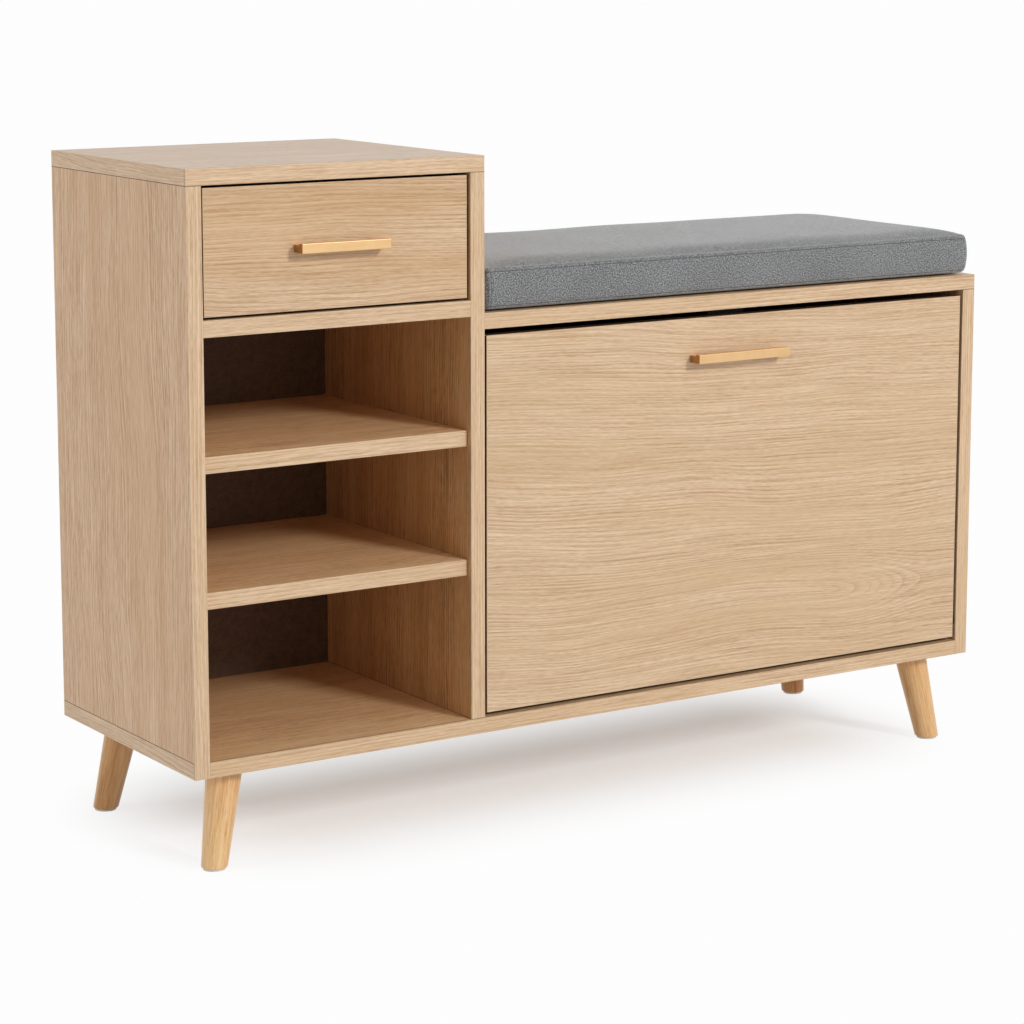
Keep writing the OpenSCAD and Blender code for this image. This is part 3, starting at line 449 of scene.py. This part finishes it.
def sanded(node, finish):
    """Strips with their arrises sanded, and fine dark lines where one strip meets another."""
    strips = merged_copy(node, node + "_sanded", (finish, finish, oak_seam))
    arris_at, seam_at = 1, 2
    bpy.ops.mesh.select_all(action="SELECT")
    bpy.ops.mesh.bevel(offset=strip_ease, segments=2, affect="EDGES", material=arris_at)
    bpy.ops.object.mode_set(mode="OBJECT")
    strips.data.shade_flat()
    for side in strips.data.polygons:
        met = any(abs(side.center.z - level) < strip_ease for level in (base_top, tower_under, seat_under))
        if side.material_index == arris_at and met:
            side.material_index = seam_at
    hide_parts(node)
    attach(strips, "bench")


sanded("upright_edging", oak_edge_upright)
sanded("level_edging", oak_edge_level)
sanded("shelf_edging", oak_edge_level)


# ---- Backs ----
# Thin hardboard with a brown printed face and a raw one, let into rebates of the boards and screwed on
# from behind. The drawer's bottom is cut from the same board.

def hardboard_finish():
    """Pressed brown fibre, with a printed face towards the bays, made darker as painted shade."""
    rear_skin = 0.001
    finish, tree, shader, place = new_finish("hardboard")
    fibre = figure(tree, place, (420, 420, 420), 4, 0.75)
    fleck = figure(tree, place, (130, 130, 130))
    cloud = figure(tree, place, (9, 9, 9), 3)
    tint = sums(tree, "MULTIPLY_ADD", fibre, 1.6, -0.95)
    tint = sums(tree, "MULTIPLY_ADD", fleck, 0.9, tint)
    tint = sums(tree, "MULTIPLY_ADD", cloud, 0.4, tint)
    # The printed face is kept dark as painted shade at the back of the bays.
    printed = ramp(tree, tint, [(0.2, tone(66, 43, 24)), (0.8, tone(98, 69, 43))])
    raw = ramp(tree, tint, [(0.2, tone(124, 92, 62)), (0.8, tone(160, 124, 88))])
    rear = sums(tree, "GREATER_THAN", axes(tree, place)[1], cad_high.y - rear_skin)
    coat(tree, shader, blend(tree, rear, printed, raw), 0.6, fibre)
    return finish


hardboard = hardboard_finish()
for back in ("tower_back", "bench_back", "drawer_bottom"):
    dress(back, hardboard)


# ---- Fasteners ----
# Cam locks, bolts, inserts and screws of zinc-plated steel hold the boards, with dowels of beech beside
# them. The slides, pins, rails and studs are rolled or turned from steel and plated brighter.

def metal(name, colour, gloss, brush):
    """Plated metal: an even body with fine brush or roll marks."""
    finish, tree, shader, place = new_finish(name)
    marks = figure(tree, place, brush, 3, 0.6)
    colour = ramp(tree, marks, [(0.3, shaded(colour, 0.9)), (0.7, shaded(colour, 1.1))])
    shader.inputs["Metallic"].default_value = 1.0
    coat(tree, shader, colour, sums(tree, "MULTIPLY_ADD", marks, 0.2, gloss - 0.1), marks, 0.1, 0.0001)
    return finish


zinc = metal("zinc", (176, 178, 181), 0.38, (700, 700, 700))
for fastener in ("cam_locks", "cam_bolts", "back_screws", "leg_bolts", "leg_inserts",
                 "cabinet_slide_screws", "catch_screws", "drawer_slide_screws", "drawer_box_screws",
                 "drawer_front_screws", "drawer_handle_screws", "flap_handle_screws", "flap_screws"):
    dress(fastener, zinc)

steel = metal("slide_steel", (196, 198, 202), 0.33, (1200, 25, 1200))
for rolled in ("left_cabinet_slide", "right_cabinet_slide", "left_drawer_slide", "right_drawer_slide",
               "ball_cages", "slide_balls", "rack_rails", "stop_studs", "pivot_pins", "strike_plate",
               "shelf_pins"):
    dress(rolled, steel)

beech = oak_finish("beech_dowel", pale=(220, 190, 150), middle=(208, 175, 132), deep=(190, 155, 112))
dress("dowels", beech)


# ---- Drawer ----
# A veneered front screwed to a plain box of thinner oak boards, on ball-bearing slides. The front's
# edges are painted dark as painted shade, so that the gap round it reads as one shadow line, and its
# arrises are painted paler as a painted highlight.

slant = (0, -math.radians(2.5), 0)
front_ease = 0.0007
# Paler oak for the fronts' arrises: a painted highlight where the light catches them.
oak_arris_painted_highlight = oak_finish("oak_arris_painted_highlight", slide=(1, 1, 1), pale=(232, 207, 175), middle=(224, 196, 162),
                       deep=(208, 177, 141))
oak_front_edge_painted_shade = oak_finish("oak_front_edge_painted_shade", slide=(1, 1, 1), pale=(84, 60, 40), middle=(66, 46, 31),
                            deep=(50, 35, 24), gold=(66, 46, 31), flat=True)
oak_drawer = oak_finish("oak_drawer", slant, (0.15, 0.3, 0.62), pale=(230, 200, 165),
                        middle=(208, 175, 139), deep=(178, 134, 88), gold=(206, 162, 110), broad=0.7)
eased("drawer_front", oak_drawer, inner=oak_front_edge_painted_shade, inner_ways=[left, right, up, down],
      ease=front_ease, arris=oak_arris_painted_highlight)

for name, turn, boards in (("oak_inner_side", crosswise, ("drawer_left_side", "drawer_right_side")),
                           ("oak_inner_end", (0, 0, 0), ("drawer_inner_front", "drawer_rear"))):
    oak_inner = oak_finish(name, turn, (0.4, 0.4, 0.1), pale=(212, 182, 144), middle=(196, 165, 126),
                           deep=(176, 144, 105), gold=(190, 156, 114))
    for box_board in boards:
        dress(box_board, oak_inner)


# ---- Flap ----
# A large veneered panel that tilts forward on two pins near its foot, with its edges painted dark as
# painted shade and its arrises painted paler as a painted highlight, as the drawer's.
# Behind it a rack of black plastic takes the shoes, and a magnetic catch holds it shut.

flap_slide = (1.3, 0.1, 0.27)
heart_x, heart_z, arch_reach, arch_cover = 0.42, 0.215, 0.17, 0.034
flap_heart = (flap_slide[0] + heart_x, flap_slide[2] + heart_z, arch_reach, arch_cover)
oak_flap = oak_finish("oak_flap", slant, flap_slide, arch=flap_heart, pale=(235, 207, 172),
                      middle=(215, 183, 148), deep=(186, 148, 106), gold=(211, 176, 132))
eased("flap_panel", oak_flap, inner=oak_front_edge_painted_shade, inner_ways=[left, right, up, down],
      ease=front_ease, arris=oak_arris_painted_highlight)

# The rack is real black plastic, kept near black so it also paints the shade in the gap above the flap;
# the catch in that gap is darker still, as painted shade.
black_plastic = moulded("black_plastic", (22, 22, 24), 0.6)
for moulding in ("pivot_bushes", "left_rack_plate", "right_rack_plate", "rack_shelves"):
    dress(moulding, black_plastic)
dress("magnetic_catch", moulded("dull_black_plastic", (9, 9, 10), 0.8))


# ---- Handles ----
# Square brass bars on two short feet, satin brushed along their length, with their end faces painted
# darker as painted shade. They are screwed on from behind through the drawer front and the flap.

handle_bar_t, handle_foot_l, handle_foot_step, handle_ease = 0.007, 0.009, 0.0016, 0.0005


def plane(place, axis):
    """A plane across one axis, as the cuts take it."""
    way = [0, 0, 0]
    way[axis] = 1
    return {"plane_co": [place * step for step in way], "plane_no": way}


def cut_across(places, axis):
    """Cuts the piece in edit mode at each place along one axis."""
    for place in places:
        bpy.ops.mesh.select_all(action="SELECT")
        bpy.ops.mesh.bisect(**plane(place, axis))


def brass_finish(name, deep, pale):
    """Satin brass with its brush marks along X."""
    finish, tree, shader, place = new_finish(name)
    brush = figure(tree, place, (12, 1800, 1800), 3, 0.6)
    cloud = figure(tree, place, (60, 60, 60))
    tint = sums(tree, "MULTIPLY_ADD", cloud, 0.4, sums(tree, "MULTIPLY", brush, 0.6))
    colour = ramp(tree, tint, [(0.2, tone(*deep)), (0.8, tone(*pale))])
    shader.inputs["Metallic"].default_value = 1.0
    coat(tree, shader, colour, sums(tree, "MULTIPLY_ADD", brush, 0.12, 0.34), brush, 0.1, 0.0001)
    return finish


brass = brass_finish("satin_brass", (212, 172, 122), (230, 193, 145))
# A darker copy of the brass for the end faces: painted shade.
brass_end = brass_finish("brass_end_painted_shade", (158, 118, 72), (186, 144, 94))


def bar_handle(node, body):
    """A square bar whose two ends are drawn back into feet, a little lower than the bar."""
    low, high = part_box(node)
    centre = (low + high) / 2
    bar_rear = low.y + handle_bar_t
    foot_inner, foot_top = (high.x - low.x) / 2 - handle_foot_l, high.z - handle_foot_step
    bpy.ops.mesh.primitive_cube_add(size=1, location=(centre.x, low.y + handle_bar_t / 2, centre.z),
                                    scale=(high.x - low.x, handle_bar_t, high.z - low.z))
    handle = bpy.context.object
    handle.name = node + "_bar"
    bpy.ops.object.transform_apply(location=True, rotation=True, scale=True)
    bpy.ops.object.mode_set(mode="EDIT")
    cut_across([centre.x - foot_inner, centre.x + foot_inner], 0)
    cut_across([foot_top], 2)

    def bears_foot(face):
        """True for the rear faces that a foot grows from."""
        outer = abs(face.center.x - centre.x) > foot_inner
        return face.normal.y > square_on and face.center.z < foot_top and outer

    choose(handle, "FACE", bears_foot)
    bpy.ops.mesh.extrude_region_move(TRANSFORM_OT_translate={"value": (0, high.y - bar_rear, 0)})
    bpy.ops.mesh.select_all(action="SELECT")
    bpy.ops.mesh.dissolve_limited(angle_limit=flat_enough)
    bpy.ops.mesh.select_all(action="SELECT")
    bpy.ops.mesh.bevel(offset=handle_ease, segments=3, affect="EDGES")
    bpy.ops.object.mode_set(mode="OBJECT")
    handle.data.materials.append(brass)
    handle.data.materials.append(brass_end)
    for side in handle.data.polygons:
        side.material_index = int(abs(side.normal.x) > square_on)
    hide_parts(node)
    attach(handle, body)


bar_handle("drawer_handle", "drawer")
bar_handle("flap_handle", "flap")


# ---- Seat cushion ----
# A foam pad in a boxed cover of grey flecked cloth: a top panel, a bottom panel and a border, sewn
# together along both rims and down the front corners. Small fixing pads hold it to the seat board.

cloth_low, cloth_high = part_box("seat_cushion")
cover_low = cloth_low + Vector((0.003, 0.001, 0.0005))
cover_high = cloth_high - Vector((0.002, 0.001, 0.0025))
top_rim_r, bottom_rim_r = 0.0045, 0.005
corner_rear_r, corner_right_r, corner_left_r = 0.05, 0.010, 0.0055
seam_high, seam_low = cover_high.z - 0.004, cover_low.z + 0.0035
seam_left, seam_right = cloth_low.x + 0.0085, cloth_high.x - 0.0105
seam_half, seam_depth = 0.0014, 0.0008
panel_cell, border_cuts = 0.008, 4
crown, bulge, waist, dimple = 0.0065, 0.0024, 0.0012, 0.0004
crown_gain, bulge_gain, left_bulge_share = 6.0, 2.0, 0.4
dimple_turns, fill_steps = ((37, 19), (23, -31)), 20
yarn_pitch, stitch_pitch, thread_r, front_zone = 0.0011, 0.0036, 0.0004, 0.004


def lies_at(piece, edge, **levels):
    """True for an edge whose two ends lie at these levels."""
    ends = [piece.data.vertices[end].co for end in edge.vertices]
    return all(abs(getattr(end, axis) - level) < same_place
               for axis, level in levels.items() for end in ends)


def sewn_cover():
    """The cover before it is filled: a box with rounded corners and rims, cut into even cells."""
    low, high = cover_low, cover_high
    bpy.ops.mesh.primitive_cube_add(size=1, location=(low + high) / 2, scale=high - low)
    cover = bpy.context.object
    cover.name = "seat_cushion_sewn"
    bpy.ops.object.transform_apply(location=True, rotation=True, scale=True)
    for x, y, round_r in ((high.x, high.y, corner_rear_r), (high.x, low.y, corner_right_r),
                          (low.x, high.y, corner_rear_r), (low.x, low.y, corner_left_r)):
        choose(cover, "EDGE", lambda edge: lies_at(cover, edge, x=x, y=y))
        bpy.ops.mesh.bevel(offset=round_r, segments=8, affect="EDGES")
        bpy.ops.object.mode_set(mode="OBJECT")
    for z, round_r in ((low.z, bottom_rim_r), (high.z, top_rim_r)):
        choose(cover, "EDGE", lambda edge: lies_at(cover, edge, z=z))
        bpy.ops.mesh.bevel(offset=round_r, segments=4, affect="EDGES")
        bpy.ops.object.mode_set(mode="OBJECT")
    bpy.ops.object.mode_set(mode="EDIT")
    cut_across(np.arange(low.x, high.x, panel_cell)[1:], 0)
    cut_across(np.arange(low.y, high.y, panel_cell)[1:], 1)
    cut_across(np.linspace(seam_low + 3 * seam_half, seam_high - 3 * seam_half, border_cuts), 2)
    for seam, axis in ((seam_low, 2), (seam_high, 2), (seam_left, 0), (seam_right, 0)):
        cut_across([seam - seam_half, seam, seam + seam_half], axis)
    bpy.ops.object.mode_set(mode="OBJECT")
    return cover


def modifier(piece, kind, **settings):
    """Adds a modifier with its settings."""
    pick(piece)
    bpy.ops.object.modifier_add(type=kind)
    added = piece.modifiers[-1]
    for setting, value in settings.items():
        setattr(added, setting, value)
    return added


def spots(mesh, what="co"):
    """The mesh's vertices, or their normals, as one array."""
    values = np.empty(len(mesh.vertices) * 3)
    mesh.vertices.foreach_get(what, values)
    return values.reshape(-1, 3)


def moved_to(mesh, places):
    """Moves the mesh's vertices to the places of an array."""
    mesh.vertices.foreach_set("co", places.ravel())
    mesh.update()


def off_seams(values, first, second):
    """How far each value is from the nearer of two seams."""
    return np.minimum(np.abs(values - first), np.abs(values - second))


def solve_cloth(cover):
    """Lets the pressure of the foam swell the cloth, held where the group says that it is sewn."""
    cloth = modifier(cover, "CLOTH")
    cloth.settings.quality = 6
    cloth.settings.mass = 0.4
    cloth.settings.tension_stiffness = 40
    cloth.settings.compression_stiffness = 40
    cloth.settings.bending_stiffness = 2
    cloth.settings.vertex_group_mass = "sewn"
    cloth.settings.use_pressure = True
    cloth.settings.uniform_pressure_force = 4
    cloth.settings.effector_weights.gravity = 0
    cloth.point_cache.frame_start, cloth.point_cache.frame_end = 1, fill_steps
    for step in range(1, fill_steps + 1):
        bpy.context.scene.frame_set(step)
    bpy.ops.object.modifier_apply(modifier=cloth.name)
    bpy.context.scene.frame_set(1)


def filled(cover):
    """Fills the cover: its panels swell, while its rims, its seams and its underside hold."""
    start, facing = spots(cover.data), spots(cover.data, "normal")
    middle = np.array(cover_low + cover_high) / 2
    reach = np.array(cover_high - cover_low) / 2
    along = (start - middle) / reach
    # Each side is drawn in a little at its middle, and the corners keep their place
    for axis, other in ((0, 1), (1, 0)):
        outwards = np.sign(along[:, axis]) * np.abs(along[:, axis]) ** 3
        start[:, axis] -= waist * outwards * (1 - along[:, other] ** 2)
    moved_to(cover.data, start)
    top = facing[:, 2] > 0.98
    level = (2 * start[:, 2] - seam_low - seam_high) / (seam_high - seam_low)
    border = (np.abs(facing[:, 2]) < 0.5) & (np.abs(level) < 1)
    front = facing[:, 1] < -0.9
    front_seams = front & (off_seams(start[:, 0], seam_left, seam_right) < seam_half * 1.1)
    near_seams = np.abs(level) > 0.85
    sewn = ~top & (~border | front_seams | near_seams)
    held = cover.vertex_groups.new(name="sewn")
    held.add([int(i) for i in np.flatnonzero(sewn)], 1.0, "REPLACE")
    solve_cloth(cover)
    # The swelling levels off below the crown on the panel, and below the bulge on the border
    move = spots(cover.data) - start
    length = np.maximum(np.linalg.norm(move, axis=1, keepdims=True), 1e-9)
    most = np.where(top, crown, bulge)[:, None]
    gain = np.where(top, crown_gain, bulge_gain)[:, None]
    end = start + move * most * np.tanh(length * gain / most) / length
    swell = border * bulge * (1 - level ** 2) * np.where(facing[:, 0] < -0.5, left_bulge_share, 1.0)
    end[:, :2] += facing[:, :2] * swell[:, None]
    lumps = sum(np.sin(x * end[:, 0] + y * end[:, 1]) for x, y in dimple_turns)
    end[:, 2] += top * (1 - along[:, 0] ** 4) * (1 - along[:, 1] ** 4) * dimple * lumps
    moved_to(cover.data, end)


def pulled_in(cover):
    """Draws the cloth in along its seams."""
    place, facing = spots(cover.data), spots(cover.data, "normal")
    border = np.abs(facing[:, 2]) < 0.5
    off = off_seams(place[:, 2], seam_high, seam_low)
    between = (place[:, 2] < seam_high) & (place[:, 2] > seam_low)
    front = border & (facing[:, 1] < -0.7) & between
    off = np.where(front, np.minimum(off, off_seams(place[:, 0], seam_left, seam_right)), off)
    depth = border * seam_depth * np.clip(1 - off / seam_half, 0, 1) ** 2
    place[:, :2] -= facing[:, :2] * depth[:, None]
    moved_to(cover.data, place)


def cloth_finish():
    """Plain weave of mixed grey yarns, pale and dark, with a short nap."""
    finish, tree, shader, place = new_finish("cushion_cloth")
    uv = tree.nodes.new("ShaderNodeUVMap").outputs[0]
    turn = math.pi / yarn_pitch
    u, v, _ = axes(tree, uv)
    across = sums(tree, "SINE", sums(tree, "MULTIPLY", u, turn))
    along = sums(tree, "SINE", sums(tree, "MULTIPLY", v, turn))
    crossing = sums(tree, "MULTIPLY", across, along)
    warp = figure(tree, uv, (1.3 / yarn_pitch, 260, 0), 2, 0.7)
    weft = figure(tree, uv, (260, 1.3 / yarn_pitch, 0), 2, 0.7)
    yarn = blend(tree, sums(tree, "GREATER_THAN", crossing), warp, weft)
    fleck = figure(tree, uv, (800, 800, 0), 2, 0.7)
    cloud = figure(tree, uv, (14, 14, 0))
    on_top = rise(tree, axes(tree, place)[2], seam_high, cover_high.z, most=1.05)
    slub = figure(tree, place, (300, 130, 300), 2, 0.6)
    slub = sums(tree, "MULTIPLY", sums(tree, "SUBTRACT", slub, 0.5), on_top)
    tint = sums(tree, "MULTIPLY_ADD", yarn, 1.4, -2.1)
    tint = sums(tree, "MULTIPLY_ADD", fleck, 3.6, tint)
    tint = sums(tree, "MULTIPLY_ADD", cloud, 0.2, sums(tree, "ADD", slub, tint))
    colour = ramp(tree, tint, [(0.1, tone(72, 73, 74)), (0.5, tone(120, 121, 121)),
                               (0.9, tone(178, 179, 179))])
    pile = sums(tree, "MULTIPLY_ADD", fleck, 0.8, sums(tree, "ABSOLUTE", crossing))
    coat(tree, shader, colour, 0.95, pile, 0.5, 0.0004)
    shader.inputs["Specular IOR Level"].default_value = 0.15
    shader.inputs["Sheen Weight"].default_value = 0.8
    shader.inputs["Sheen Roughness"].default_value = 0.45
    return finish


def thread_finish():
    """Grey thread in even stitches, with painted shade where it dips into the cloth."""
    finish, tree, shader, place = new_finish("seam_thread")
    x, y, z = axes(tree, place)
    run = sums(tree, "ADD", sums(tree, "ADD", x, y), z)
    stitch = sums(tree, "SINE", sums(tree, "MULTIPLY", run, 2 * math.pi / stitch_pitch))
    stitch = sums(tree, "MULTIPLY_ADD", stitch, 0.5, 0.5)
    # The dark stop paints the shade where each stitch dips into the cloth.
    colour = ramp(tree, stitch, [(0.25, tone(66, 67, 68)), (0.6, tone(108, 109, 110))])
    coat(tree, shader, colour, 0.9, stitch, 0.6, 0.0003)
    return finish


def stitched(name, place, axis, kept):
    """A line of stitches: the cover's outline at one plane, made a fine cord."""
    pick(cushion)
    bpy.ops.object.duplicate()
    line = bpy.context.object
    line.name = name
    bpy.ops.object.mode_set(mode="EDIT")
    bpy.ops.mesh.select_all(action="SELECT")
    bpy.ops.mesh.bisect(clear_inner=True, clear_outer=True, **plane(place, axis))
    bpy.ops.object.mode_set(mode="OBJECT")
    choose(line, "VERT", lambda spot: not kept(spot.co))
    bpy.ops.mesh.delete(type="VERT")
    bpy.ops.object.mode_set(mode="OBJECT")
    pick(line)
    bpy.ops.object.convert(target="CURVE")
    line.data.bevel_depth = thread_r
    line.data.bevel_resolution = 2
    bpy.ops.object.convert(target="MESH")
    line.data.materials.append(thread)
    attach(line, "bench")


cushion = sewn_cover()
filled(cushion)
modifier(cushion, "SUBSURF", levels=1, render_levels=1)
bpy.ops.object.modifier_apply(modifier=cushion.modifiers[0].name)
pulled_in(cushion)
bpy.ops.object.shade_smooth()
bpy.ops.object.mode_set(mode="EDIT")
bpy.ops.mesh.select_all(action="SELECT")
bpy.ops.uv.cube_project(cube_size=1.0)
bpy.ops.object.mode_set(mode="OBJECT")

thread = thread_finish()
stitched("cushion_top_seam", seam_high, 2, lambda place: True)
stitched("cushion_bottom_seam", seam_low, 2, lambda place: True)
stitched("cushion_front_seam", seam_left, 0,
         lambda place: place.y < cover_low.y + front_zone and seam_low < place.z < seam_high)

cushion.data.materials.append(cloth_finish())
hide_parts("seat_cushion")
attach(cushion, "bench")
dress("cushion_pads", moulded("cushion_pad", (70, 70, 72), 0.8))


# ---- Floor, light and camera ----
# A plain studio: a pale floor that takes the bench's shadow and goes over to white around it, an even
# white room, one large lamp high in front on the right, and a weak one on the left.

floor_w, white_share = 14, 0.985
plain_white = (white_share, white_share, white_share, 1)
shade_middle, shade_reach = (0, 0.03, 0), (cad_high.x - 0.18, 0.03, 1)
shade_fade, shade_lift = 0.24, 0.28


def looked_at(tree):
    """1 for what the camera looks at, also through gloss or glass, and 0 for the light shed on things."""
    path = tree.nodes.new("ShaderNodeLightPath")
    seen = sums(tree, "MAXIMUM", path.outputs["Is Camera Ray"], path.outputs["Is Glossy Ray"])
    return sums(tree, "MAXIMUM", seen, path.outputs["Is Transmission Ray"])


def floor_finish():
    """Pale paint, lifted a little under the bench, and plain white farther away."""
    finish, tree, shader, place = new_finish("floor")
    tree.nodes.remove(shader)
    seen = looked_at(tree)
    paint = put(tree, "BsdfDiffuse", {"Color": (0.85, 0.865, 0.89, 1)})
    glow = put(tree, "Emission", {"Color": plain_white, "Strength": 1.0})
    aside = put(tree, "VectorMath", {0: place, 1: shade_middle}, operation="SUBTRACT")
    aside = put(tree, "VectorMath", {0: aside}, operation="ABSOLUTE")
    aside = put(tree, "VectorMath", {0: aside, 1: shade_reach}, operation="SUBTRACT")
    aside = put(tree, "VectorMath", {0: aside, 1: (0, 0, 0)}, operation="MAXIMUM")
    away = tree.nodes.new("ShaderNodeVectorMath")
    away.operation = "LENGTH"
    tree.links.new(aside, away.inputs[0])
    far = rise(tree, away.outputs["Value"], 0.0, shade_fade, way="SMOOTHSTEP")
    lift = put(tree, "Emission", {"Color": (1, 1, 1, 1),
                                  "Strength": sums(tree, "MULTIPLY", seen, shade_lift)})
    lifted = put(tree, "AddShader", {0: paint, 1: lift})
    both = put(tree, "MixShader", {0: sums(tree, "MULTIPLY", seen, far), 1: lifted, 2: glow})
    tree.links.new(both, tree.nodes["Material Output"].inputs["Surface"])
    return finish


bpy.ops.mesh.primitive_plane_add(size=floor_w, location=(0, 0, 0))
floor = bpy.context.object
floor.name = "floor"
floor.data.materials.append(floor_finish())

world = bpy.data.worlds.new("soft_room")
bpy.context.scene.world = world
world.use_nodes = True
tree = world.node_tree
for node in list(tree.nodes):
    tree.nodes.remove(node)
soft = put(tree, "Background", {"Color": (1, 1, 1, 1), "Strength": 0.45})
white = put(tree, "Background", {"Color": plain_white, "Strength": 1.0})
both = put(tree, "MixShader", {0: looked_at(tree), 1: soft, 2: white})
output = tree.nodes.new("ShaderNodeOutputWorld")
tree.links.new(both, output.inputs["Surface"])


def soft_box(name, position, aim, size, power):
    """A square area lamp that faces the place it aims at."""
    lamp = bpy.data.lights.new(name, "AREA")
    lamp.size = size
    lamp.energy = power
    box = bpy.data.objects.new(name, lamp)
    bpy.context.scene.collection.objects.link(box)
    box.location = position
    box.rotation_euler = (Vector(aim) - Vector(position)).to_track_quat("-Z", "Y").to_euler()


soft_box("key_light", (1.9, -6.2, 3.6), (0, 0, 0.35), 1.3, 238)
soft_box("side_light", (-3.2, 0.6, 1.1), (-0.3, 0.1, 0.35), 1.6, 15)

camera = bpy.data.cameras.new("camera")
camera.lens, camera.sensor_width, camera.shift_y = 106.97, 36, -0.0977
viewer = bpy.data.objects.new("camera", camera)
bpy.context.scene.collection.objects.link(viewer)
viewer.location = (-1.7450, -2.6430, 0.8916)
viewer.rotation_euler = (math.pi / 2 - 0.1564, 0, -0.5748)
bpy.context.scene.camera = viewer
bpy.context.scene.view_settings.view_transform = "Standard"
